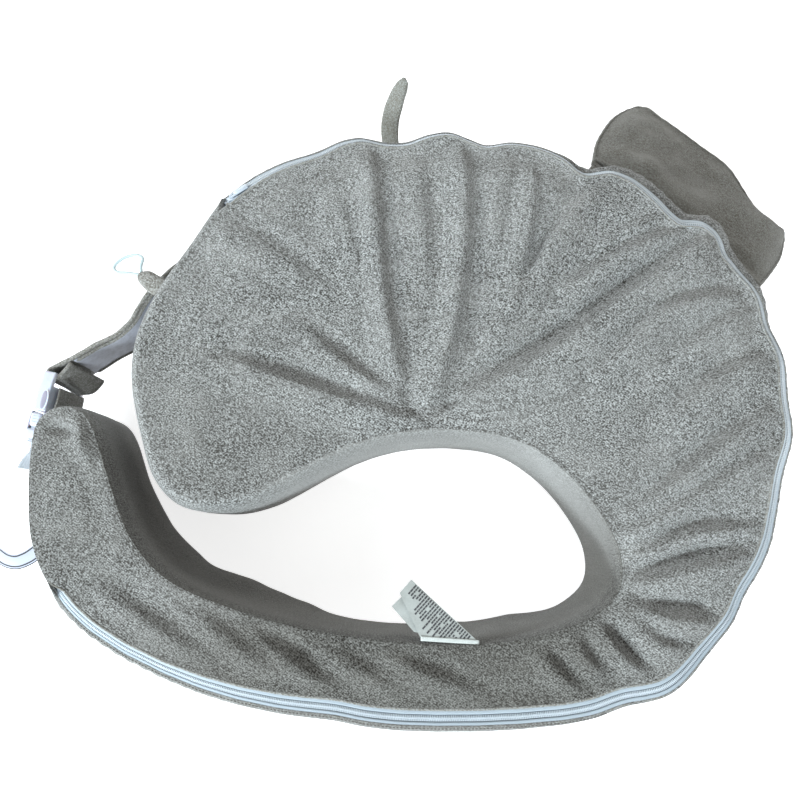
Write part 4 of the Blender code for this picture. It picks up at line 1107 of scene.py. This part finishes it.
def buckle_half(name, node, body, bow, taper, windows=()):
    """A CAD half with softened edges, cut into slices along its length and bowed like a moulded buckle."""
    import bmesh

    obj = bevelled_copy(name, node, 1.1 * MM, BUCKLE, 3)
    obj.modifiers.clear()
    inverse = AXES.inverted()
    obj.data.transform(inverse)
    work = bmesh.new()
    work.from_mesh(obj.data)
    for x in np.arange(-31, 32, 2.2):
        everything = work.verts[:] + work.edges[:] + work.faces[:]
        bmesh.ops.bisect_plane(work, geom=everything, plane_co=(x * MM, 0, 0), plane_no=(1, 0, 0), dist=1e-7)
    for z in np.arange(-30, 31, 6.0):
        everything = work.verts[:] + work.edges[:] + work.faces[:]
        bmesh.ops.bisect_plane(work, geom=everything, plane_co=(0, 0, z * MM), plane_no=(0, 0, 1), dist=1e-7)
    bmesh.ops.triangulate(work, faces=[f for f in work.faces if len(f.verts) > 4])
    for v in work.verts:
        x, y, z = v.co
        share = (x - taper[0]) / (taper[1] - taper[0])
        share = min(1, max(0, share))
        thick = taper[2] + (taper[3] - taper[2]) * share * share * (3 - 2 * share)
        v.co.y = y * thick + bow(x)
        v.co.z = z * (1 - 0.045 * abs(x / (32 * MM)) ** 2.2)
    work.to_mesh(obj.data)
    work.free()
    obj.data.transform(AXES)
    obj.data.polygons.foreach_set("use_smooth", [True] * len(obj.data.polygons))
    even = obj.modifiers.new("even shading", "WEIGHTED_NORMAL")
    even.keep_sharp = False
    return settle(obj, body, "buckle_plastic", node)


def pad(name, centre, size, finish, body, slot, push=2.6, crown=3, rows=9, around_it=28, dish=0.0):
    """A small domed moulding in the buckle's axes: a superellipse raised along the third."""
    (cx, cy, cz), (lx, ly, lz) = centre, size
    rings = []
    for r in np.linspace(0, 1, rows):
        lift = (1 - r**crown) ** 0.5 - dish * math.exp(-((r / 0.55) ** 2))
        ring = []
        for k in range(around_it):
            a = 2 * math.pi * k / around_it
            e = 2 / push
            ring.append((cx + lx * r * math.copysign(abs(math.cos(a)) ** e, math.cos(a)),
                    cy + ly * r * math.copysign(abs(math.sin(a)) ** e, math.sin(a)), cz + lz * lift))
        rings.append(in_buckle(ring))
    return settle(sheet_of(name, np.array(rings), finish, False, True), body, slot)


def buckle():
    male_bow = lambda x: 0.9 * MM * max(0.0, 1 - ((x - 12 * MM) / (20 * MM)) ** 2)
    female_bow = lambda x: 1.6 * MM * max(0.0, 1 - ((x + 15 * MM) / (17 * MM)) ** 2)
    buckle_half("buckle_plug", "buckle_male", "strap", male_bow, (6 * MM, 32 * MM, 1.0, 0.92))
    buckle_half("buckle_socket", "buckle_female", "pillow", female_bow, (-32 * MM, -12 * MM, 0.72, 1.0))
    for side, name in ((1, "upper"), (-1, "lower")):
        arm = bevelled_copy(f"buckle_arm_{name}", f"buckle_prong_{name}", 0.8 * MM, BUCKLE, 3)
        settle(arm, f"prong_{name}", "buckle_plastic", f"buckle_prong_{name}")
        z = side * 34 * MM
        pad(f"button_cap_{name}", (-9.0 * MM, 1.45 * MM, side * 32.2 * MM),
            (5.9 * MM, 4.1 * MM, side * 2.5 * MM), BUCKLE, f"prong_{name}", "buckle_plastic", 7, 10)
        for k in range(3):
            x = (-6.5 - 2.4 * k) * MM
            at = np.linspace(-3.0, 3.0, 9)
            far = (np.abs((x / MM + 9.0) / 5.9) ** 7 + np.abs(at / 4.1) ** 7) ** (1 / 7)
            rib = np.stack([np.full(9, x), (1.45 + at) * MM, side * (32.2 + 2.5 * np.sqrt(1 - far**10)) * MM],
                1)
            tube(f"button_rib_{name}_{k}", in_buckle(rib), 0.32 * MM, BUCKLE, f"prong_{name}",
                "buckle_plastic")
        pad(f"socket_shoulder_{name}", (-20.6 * MM, 1.2 * MM, side * 33.2 * MM),
            (3.9 * MM, 6.3 * MM, side * 2.0 * MM), BUCKLE, "pillow", "buckle_plastic", 3.4)
        # A dark pad in each rail of the plug, painted shade where the window is recessed, and the thin wall
        # beside it.
        pad(f"plug_window_shade_{name}", (7.5 * MM, -1.1 * MM, z - side * 0.5 * MM),
            (8.6 * MM, 2.5 * MM, side * 0.75 * MM), WINDOW_SHADE, "strap", "buckle_plastic", 2.3)
        turn = np.radians(np.linspace(-70, 70, 15))
        wall = np.stack([7.5 * MM + 9.6 * MM * np.sin(turn), -1.1 * MM - 3.4 * MM * np.cos(turn),
                np.full(15, z + side * 0.2 * MM)], 1)
        tube(f"plug_rib_{name}", in_buckle(wall), 0.55 * MM, BUCKLE, "strap", "buckle_plastic")
        for k, x in enumerate((-24.5, -26.0, -27.5)):
            rib = np.stack([np.full(5, x * MM), np.linspace(-3.2, 3.4, 5) * MM, np.full(5, z * 0.985)], 1)
            tube(f"socket_grip_{name}_{k}", in_buckle(rib), 0.4 * MM, BUCKLE, "pillow", "buckle_plastic")
    # Ribs across the socket's outer face.
    for k, x in enumerate((-7.5, -10.0, -12.5)):
        rib = np.stack([np.full(25, x * MM), np.full(25, 6.0 * MM + female_bow(x * MM)),
                np.linspace(-24, 24, 25) * MM], 1)
        tube(f"socket_rib_{k}", in_buckle(rib), 0.55 * MM, BUCKLE, "pillow", "buckle_plastic")
    turn = np.radians(np.linspace(100, -100, 13))
    outer = curve_through(((-54, 14.2), (-48, 9), (-41, 4.8), (-36.5, 4.0)), 1.0)
    inner = curve_through(((-36.5, -4.0), (-40, -6.5), (-45, -8.4), (-50, -9.6)), 1.0)
    bend = np.stack([-30.2 + 3.7 * np.cos(turn), 3.7 * np.sin(turn)], 1)
    route = np.vstack([outer * [1, -1], bend[::-1], inner * [1, -1]]) * MM
    route = curve_through(route, 1.2 * MM)
    path = in_buckle(np.c_[route, np.zeros(len(route))])
    flat_strap("buckle_web", path, 50 * MM, 1.3 * MM, WEBBING, "pillow", "webbing", "buckle_webbing")


def tube(name, path, radius, finish, body, slot):
    path = np.asarray(path, float)
    way = unit(np.gradient(path, axis=0))
    side = unit(np.cross(way, [0.02, 0.01, 1.0]))
    up = np.cross(side, way)
    turn = np.linspace(0, 2 * math.pi, 8, endpoint=False)
    size = np.ones(len(path)) * radius
    size[0] = size[-1] = radius * 0.55
    section = np.stack([np.cos(turn), np.sin(turn)], 1)[None] * size[:, None, None]
    return settle(swept(name, path, side, up, section, finish), body, slot)


def flat_strap(name, path, wide, thick, finish, body, slot, *replaced):
    """A flat strap standing on edge along a plan path."""
    way = unit(np.gradient(path, axis=0))
    side = unit(np.cross(way, [0, 0, 1.0]))
    up = np.tile([0.0, 0.0, 1.0], (len(path), 1))
    section = round_section(thick, wide, thick * 0.45, 3)
    # Denser rows up the strap's faces, so that they can ripple.
    dense = []
    for a, b in zip(section, np.roll(section, -1, 0)):
        pieces = max(1, int(np.linalg.norm(b - a) / (3 * MM)))
        dense += [a + (b - a) * k / pieces for k in range(pieces)]
    obj = swept(name, path, side, up, np.array(dense), finish)
    return settle(obj, body, slot, *replaced) if body else obj


def plan(*knots):
    """Row-frame points, at the strap's middle height, from knots in mm."""
    knots = np.array(knots, float) * MM
    return np.c_[knots, np.full(len(knots), 50 * MM)]


STRAP_LINE = (
    (-185.4, 105.3), (-194.4, 100.3), (-205.4, 91.3), (-216.4, 79.3), (-225.4, 65.3), (-233.4, 50.3),
    (-245.4, 38.8), (-261.4, 29.8), (-277.4, 19.3), (-289.9, 11.8),
)  # fmt: skip


def strap():
    """The strap: fleece outside with rolled edges, smooth lining inside, folded round the plug's bar."""
    main = curve_through(plan(*STRAP_LINE), 2.2 * MM)
    bar = in_buckle([BAR_END, 0, 0])
    turn = np.radians(np.linspace(122.7, 302.7, 15))
    bend = np.stack([bar[0] + 4.7 * MM * np.cos(turn), bar[1] + 4.7 * MM * np.sin(turn),
            np.full(15, 50 * MM)], 1)
    tail = curve_through(plan((-290.2, -0.6), (-286.8, 0.4), (-283.2, 3.4), (-279.8, 7.6), (-277.4, 11.6)),
        2.0 * MM)
    route = np.vstack([main[:-1], bend, tail])
    lean = step_up(np.arange(len(route)), len(main) + 8, len(main) + 18)
    cloth = flat_strap("strap_fleece", route, 55 * MM, 2.6 * MM, FLEECE_TRIM, None, None)
    co = np.array([v.co for v in cloth.data.vertices]).reshape(len(route), -1, 3)
    co[..., 0] -= (co[..., 2] - 50 * MM) * 0.15 * lean[:, None]
    co[..., 1] += (co[..., 2] - 50 * MM) * 0.08 * lean[:, None]
    cloth.data.vertices.foreach_set("co", co.ravel())
    ripple(cloth, "strap", "fleece_dark", "strap_outer")
    way = unit(np.gradient(main, axis=0))
    side = -unit(np.cross(way, [0, 0, 1.0]))
    inner = (main + side * 1.9 * MM)[2:-5]
    ripple(flat_strap("strap_lining_cloth", inner, 51 * MM, 1.1 * MM, LINING, None, None), "strap", "lining",
        "strap_lining")
    way = unit(np.gradient(route, axis=0))
    side = unit(np.cross(way, [0, 0, 1.0]))
    for k, z in enumerate((26.6, -26.6)):
        edge = route + side * 0.3 * MM + [0, 0, z * MM]
        edge[:, 0] -= z * MM * 0.15 * lean
        edge[:, 1] += z * MM * 0.08 * lean
        edge[:, 2] += 0.25 * MM * np.sin(np.arange(len(edge)) * 0.9)
        ripple(tube(f"strap_rolled_edge_{k}", edge, 1.9 * MM, FLEECE_TRIM, "strap", "fleece_dark"), "strap",
            "fleece_dark")
    hem_way = unit(np.gradient(main, axis=0))
    hem_side = -unit(np.cross(hem_way, [0, 0, 1.0]))
    for k, z in enumerate((24.2, -24.2)):
        roll = (main + hem_side * 2.3 * MM + [0, 0, z * MM])[1:-6]
        ripple(tube(f"strap_hem_{k}", roll, 1.7 * MM, FLEECE_TRIM, "strap", "fleece_dark"), "strap",
            "fleece_dark")
    # White thread: the two rows along the lining's edges, and the tangle where it is sewn to the wall.
    for k, z in enumerate((21.5, -21.5)):
        line = (main - unit(np.cross(unit(np.gradient(main, axis=0)), [0, 0, 1.0])) * 2.55 * MM)[2:-5]
        line[:, 2] += z * MM
        ripple(dashes(f"strap_thread_{k}", line, 2.6 * MM, 0.26 * MM, STITCH), "strap", "lining")
    t = np.linspace(0, 1, 90)
    at = (4 + 11 * t).astype(float)
    base = np.stack([np.interp(at, np.arange(len(main)), main[:, k]) for k in range(3)], 1)
    out = -unit(np.cross(unit(np.gradient(base, axis=0)), [0, 0, 1.0]))
    tangle = base + out * 2.9 * MM
    tangle[:, 2] += 9 * MM * np.sin(t * 26) + 6 * MM * np.sin(t * 9 + 1)
    ripple(tube("strap_tangle", curve_through(tangle, 1.2 * MM), 0.28 * MM, STITCH, "strap", "lining"),
        "strap", "lining")
    guard_route = in_buckle(np.array([(20.5, -8.0, 0), (17, -8.4, 0), (12, -8.5, 0), (6, -8.2, 0),
                (3, -8.0, 0)]) * MM)
    flat_strap("buckle_guard", curve_through(guard_route, 1.5 * MM), 52 * MM, 1.8 * MM, FLEECE_TRIM, "strap",
        "fleece_dark")


def ripple(obj, body, slot, *replaced):
    """Soft ripples in a strap piece, baked into its mesh, which is then taken off any body."""
    obj.parent = None
    obj.matrix_world = Matrix.Identity(4)
    co = np.array([v.co for v in obj.data.vertices])
    shift = 0.8 * MM * waves(co * [1, 1, 0.6], 0.022, 61, 2)
    lean = (co[:, 2] - 0.05) * 0.06 * np.sin((co[:, 0] + 0.2) * 40)
    co[:, 0] += (shift + lean) * 0.45
    co[:, 1] += (shift + lean) * 0.85
    obj.data.vertices.foreach_set("co", co.ravel())
    if replaced:
        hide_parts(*replaced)
    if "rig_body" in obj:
        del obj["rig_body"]
    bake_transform(obj)
    return obj


def dashes(name, path, pitch, half, finish):
    """Short thread ends along a path."""
    path = curve_through(path, pitch / 4)
    way = unit(np.gradient(path, axis=0))
    side = unit(np.cross(way, [0.01, 0.02, 1.0]))
    up = np.cross(side, way)
    points, faces = [], []
    for i in range(2, len(path) - 2, 4):
        first = len(points)
        for dx, r in ((-0.30, 0.4), (-0.2, 1.0), (0.2, 1.0), (0.30, 0.4)):
            for k in range(6):
                a = math.pi / 3 * k
                points.append(path[i] + way[i] * dx * pitch + side[i] * half * r * math.cos(a)
                    + up[i] * half * r * math.sin(a))
        faces += [tuple(first + v for v in f) for f in grid_faces(4, 6, False, True)]
        faces += [tuple(first + v for v in (5, 4, 3, 2, 1, 0)),
            tuple(first + v for v in (18, 19, 20, 21, 22, 23))]
    return add(name, np.array(points), faces, finish)


# ---------------------------------------------------------------- trims


def hanging_loop():
    """A strip of fleece folded on itself and sewn to the wall, leaning over so that its face shows."""
    spine = curve_through(np.array([(-14.2, 205.5, 70), (-16.2, 218, 70.5), (-16.4, 232, 71.5),
                (-13.4, 247, 73), (-7.6, 264, 74), (-3.4, 274.0, 74.4)], float) * MM, 1.8 * MM)
    t = np.linspace(0, 1, len(spine))
    half = np.interp(t, [0, 0.3, 0.6, 0.85, 0.95, 1.0], np.array([6.9, 8.2, 8.8, 7.4, 5.2, 1.6])) * MM
    way = unit(np.gradient(spine, axis=0))
    across = unit(np.cross(way, [0.0, 0, 1.0]) + np.array([0, 0, 0.42]))
    up = np.cross(across, way)
    section = []
    for k in range(len(spine)):
        w, h = half[k], 2.1 * MM
        ring = []
        for a in np.linspace(0, 2 * math.pi, 28, endpoint=False):
            x, y = math.cos(a), math.sin(a)
            pinch = 1 - 0.35 * math.exp(-((x - 0.72) ** 2) / 0.01)
            ring.append((w * math.copysign(abs(x) ** 0.75, x), h * pinch * math.copysign(abs(y) ** 0.6, y)))
        section.append(ring)
    loop = swept("hanging_loop_strip", spine, across, up, np.array(section), LOOP)
    settle(loop, "pillow", "fleece", "hanging_loop")
    edge = spine + across * (half * 0.74)[:, None] - up * 0 + np.abs(up) * 1.75 * MM
    thread = dashes("hanging_loop_thread", edge[2:-3], 2.4 * MM, 0.35 * MM, STITCH_DARK)
    settle(thread, "pillow", "fleece")


def tab_and_elastic():
    """The rounded tab, and the elastic loop that is sewn into it."""
    outline = curve_through(np.array([(-209.0, 66.5), (-215.6, 70.6), (-221.2, 76.0), (-224.8, 81.2),
                (-224.6, 85.4), (-220.4, 87.8), (-214.8, 88.1), (-208.8, 85.0), (-200.2, 79.9)], float) * MM,
        1.6 * MM)
    outline = np.vstack([outline, [(-0.196, 0.077), (-0.203, 0.0665)]])
    middle = outline.mean(0)
    rings = []
    for r, z in ((0.0, 3.2), (0.45, 3.3), (0.75, 3.0), (0.92, 2.1), (1.0, 0.8), (1.0, -0.8), (0.92, -2.1),
            (0.75, -2.8), (0.45, -3.0), (0.0, -3.0)):
        rings.append(np.c_[middle + (outline - middle) * r, np.full(len(outline), 0.092 + z * MM)])
    tab = sheet_of("tab_fleece", np.array(rings), FLEECE_TRIM, False, True)
    settle(tab, "pillow", "fleece", "loop_tab")
    knots = np.array([
        (-224.2, 88.1, 92.0), (-222.9, 94.3, 91.5), (-221.4, 99.5, 91.0), (-225.4, 102.5, 90.5),
        (-231.4, 102.5, 90.0), (-237.9, 100.3, 89.8), (-243.2, 96.3, 89.8), (-245.9, 91.3, 90.0),
        (-242.9, 87.8, 90.5), (-236.4, 87.1, 91.2), (-230.4, 86.3, 91.8), (-225.0, 85.0, 92.0),
    ], float) * MM  # fmt: skip
    knots[0] = (-0.2222, 0.0872, 0.092)
    knots[-1] = (-0.2240, 0.0852, 0.0920)
    path = curve_through(knots, 3.0 * MM)
    curve = bpy.data.curves.new("elastic_cord", "CURVE")
    curve.dimensions = "3D"
    curve.bevel_depth, curve.bevel_resolution, curve.use_fill_caps = 1.35 * MM, 4, True
    spline = curve.splines.new("NURBS")
    spline.points.add(len(path) - 1)
    for point, place in zip(spline.points, path):
        point.co = (*place, 1.0)
    spline.use_endpoint_u, spline.order_u, spline.resolution_u = True, 4, 8
    curve.materials.append(ELASTIC)
    cord = bpy.data.objects.new("elastic_cord", curve)
    bpy.context.scene.collection.objects.link(cord)
    settle(cord, "pillow", "elastic", "elastic_loop")
    length = float(np.linalg.norm(np.diff(path, axis=0), axis=1).sum())


def leaf(name, corners, lift, finish, print_lines, seed):
    """One satin leaf: a fine grid over a four-cornered outline, curled and creased."""
    # sewn end left, sewn end right, tip right, tip left
    a, b, c, d = (np.array(p, float) * MM for p in corners)
    rows, columns = 34, 22
    u, v = np.meshgrid(np.linspace(0, 1, columns), np.linspace(0, 1, rows))
    u3, v3 = u[..., None], v[..., None]
    plan_points = (a * (1 - u3) + b * u3) * (1 - v3) + (d * (1 - u3) + c * u3) * v3
    flat = np.concatenate([plan_points, np.zeros((rows, columns, 1))], 2).reshape(-1, 3)
    wave = waves(flat, 0.02, seed, 2).reshape(rows, columns)
    z = lift + 1.1 * MM * wave * v + 1.2 * MM * np.sin(v * 9 + u * 2) * v * 0.4
    points = np.concatenate([plan_points, z[..., None]], 2)
    obj = sheet_of(name, points, finish)
    # Printed lines: rows of short generic dashes, in a dark second material.
    obj.data.materials.append(PRINT)
    return obj, points


def labels():
    """The two satin leaves sewn to the arm's inner edge, and the ribbon at the arm's end."""
    front, points = leaf("care_label_leaf", ((8, -204.5), (52, -207.5), (1, -161), (-8, -171)), 0.1100, SATIN,
        True, 71)
    settle(front, "pillow", "label_satin", "care_label_front")
    back, _ = leaf("care_label_leaf_under", ((3, -200), (40, -206), (-1, -169), (-14, -181)), 0.1076, SATIN,
        False, 72)
    settle(back, "pillow", "label_satin", "care_label_back")
    marks, faces = printed(points)
    settle(add("care_label_marks", np.array(marks), faces, PRINT), "pillow", "label_satin")
    binding = points[0] + np.array([0, 0, 0.3 * MM])
    path = curve_through(np.array(binding), 1.5 * MM)
    way = unit(np.gradient(path, axis=0))
    side = unit(np.cross(way, [0, 0, 1.0]))
    settle(swept("care_label_binding", path, side, np.cross(side, way),
            round_section(3.4 * MM, 1.2 * MM, 0.55 * MM, 3), BINDING), "pillow", "label_satin")
    ribbon()


def printed(points):
    """Rows of short plain dashes across the leaf, square to its long free edge."""
    rng = np.random.default_rng(8)
    flat = points.reshape(-1, 3)
    tip, root = points[-1, -1, :2], points[0, -1, :2]
    run = (root - tip) / np.linalg.norm(root - tip)
    inward = np.array([run[1], -run[0]])
    border = np.vstack([points[0, :, :2], points[:, -1, :2], points[-1, ::-1, :2], points[::-1, 0, :2]])
    marks, faces = [], []
    for row in np.arange(5 * MM, 0.0615, 2.3 * MM):
        at = 0.8 * MM
        reach = (14 + 6 * rng.random()) * MM if row > 16 * MM else (7 + 6 * rng.random()) * MM
        while at < reach:
            long = (1.0 + 2.2 * rng.random()) * MM
            corners = np.array([
                tip + run * (row + dr) + inward * (at + di)
                for dr, di in ((0, 0), (1.2 * MM, 0), (1.2 * MM, long), (0, long))
            ])  # fmt: skip
            if inside(corners + inward * 1.2 * MM, border).all() and rng.random() < 0.9:
                first = len(marks)
                for corner in corners:
                    gap = np.linalg.norm(flat[:, :2] - corner, axis=1)
                    near = np.argsort(gap)[:4]
                    weight = 1 / (gap[near] + 1e-5)
                    height = (flat[near, 2] * weight).sum() / weight.sum()
                    marks.append(np.r_[corner, height + 0.22 * MM])
                faces.append((first, first + 1, first + 2, first + 3))
            at += long + 0.45 * MM
    return marks, faces


def ribbon():
    """A narrow woven ribbon with two dark border lines, curling out from the wall."""
    spine = curve_through(np.array([(-293.5, -131.0, 35), (-304, -135.8, 35), (-314.8, -140.8, 35.5),
                (-324.5, -147.2, 35), (-334, -150.3, 34.5), (-342, -148.8, 34), (-350.5, -143.2, 34)], float)
        * MM, 1.3 * MM)
    way = unit(np.gradient(spine, axis=0))
    side = unit(np.cross(way, [0, 0, 1.0]))
    up = np.cross(side, way)
    twist = np.linspace(0.1, 0.35, len(spine))[:, None]
    across, normal = side * np.cos(twist) + up * np.sin(twist), up * np.cos(twist) - side * np.sin(twist)
    body = swept("ribbon_cloth", spine, across, normal, round_section(12.4 * MM, 0.5 * MM, 0.2 * MM, 2),
        RIBBON)
    settle(body, "pillow", "label_ribbon", "ribbon_label")
    for k, at in enumerate((-4.4, 4.6)):
        path = spine + across * at * MM + normal * 0.28 * MM
        line = swept(f"ribbon_border_{k}", path, across, normal,
            round_section(1.15 * MM, 0.16 * MM, 0.07 * MM, 1), RIBBON_DARK)
        settle(line, "pillow", "label_ribbon")
    path = spine - across * 6.3 * MM - normal * 0.1 * MM
    settle(swept("ribbon_selvedge", path, across, normal, round_section(1.3 * MM, 0.7 * MM, 0.25 * MM, 1),
            RIBBON_DARK), "pillow", "label_ribbon")


# ---------------------------------------------------------------- stage


def stage():
    bpy.ops.mesh.primitive_grid_add(x_subdivisions=4, y_subdivisions=4, size=9, location=(0, 0, -0.0004))
    floor = bpy.context.object
    floor.name = "floor"
    paper = Finish("floor", (0.90, 0.90, 0.90), 0.9)
    grain = paper.noise(paper.place(), 60, 3, 0.6)
    paper.paint(paper.mix(paper.spread(grain, 0.3, 0.7), (0.885, 0.89, 0.90), (0.91, 0.91, 0.915)))
    floor.data.materials.append(paper.material)
    paper.shader.inputs["Emission Color"].default_value = (1.0, 1.0, 1.0, 1)
    paper.shader.inputs["Emission Strength"].default_value = 0.68

    world = bpy.data.worlds.new("studio")
    bpy.context.scene.world = world
    world.use_nodes = True
    back = world.node_tree.nodes["Background"]
    back.inputs["Color"].default_value = (1.0, 0.985, 0.955, 1)
    back.inputs["Strength"].default_value = 0.50

    def lamp(name, place, aim, size, power, colour):
        data = bpy.data.lights.new(name, "AREA")
        data.shape, data.size, data.size_y = "RECTANGLE", size[0], size[1]
        data.energy, data.color = power, colour
        obj = bpy.data.objects.new(name, data)
        obj.location = place
        obj.rotation_euler = (Vector(aim) - Vector(place)).to_track_quat("-Z", "Y").to_euler()
        bpy.context.scene.collection.objects.link(obj)

    lamp("key", (-1.1, -4.2, 3.0), (0, 0, 0.05), (1.9, 1.4), 430, (0.85, 0.94, 1.0))
    lamp("left", (-3.6, 0.3, 1.5), (0, 0, 0.05), (1.6, 1.2), 150, (0.88, 0.95, 1.0))
    lamp("back", (0.8, 3.4, 2.6), (0, 0, 0.05), (1.8, 1.2), 50, (0.96, 0.98, 1.0))

    data = bpy.data.cameras.new("camera")
    camera = bpy.data.objects.new("camera", data)
    camera.location = (-0.0154, -0.1237, 0.728)
    camera.rotation_euler = (math.radians(8.993), math.radians(-1.035), 0)
    data.lens, data.sensor_width = 35.29, 36
    bpy.context.scene.collection.objects.link(camera)
    bpy.context.scene.camera = camera
    bpy.context.scene.view_settings.view_transform = "Standard"


stage()
cover()
bottom_and_foam()
zip_parts()
zip_hems()
slider()
pocket()
buckle()
strap()
hanging_loop()
tab_and_elastic()
labels()
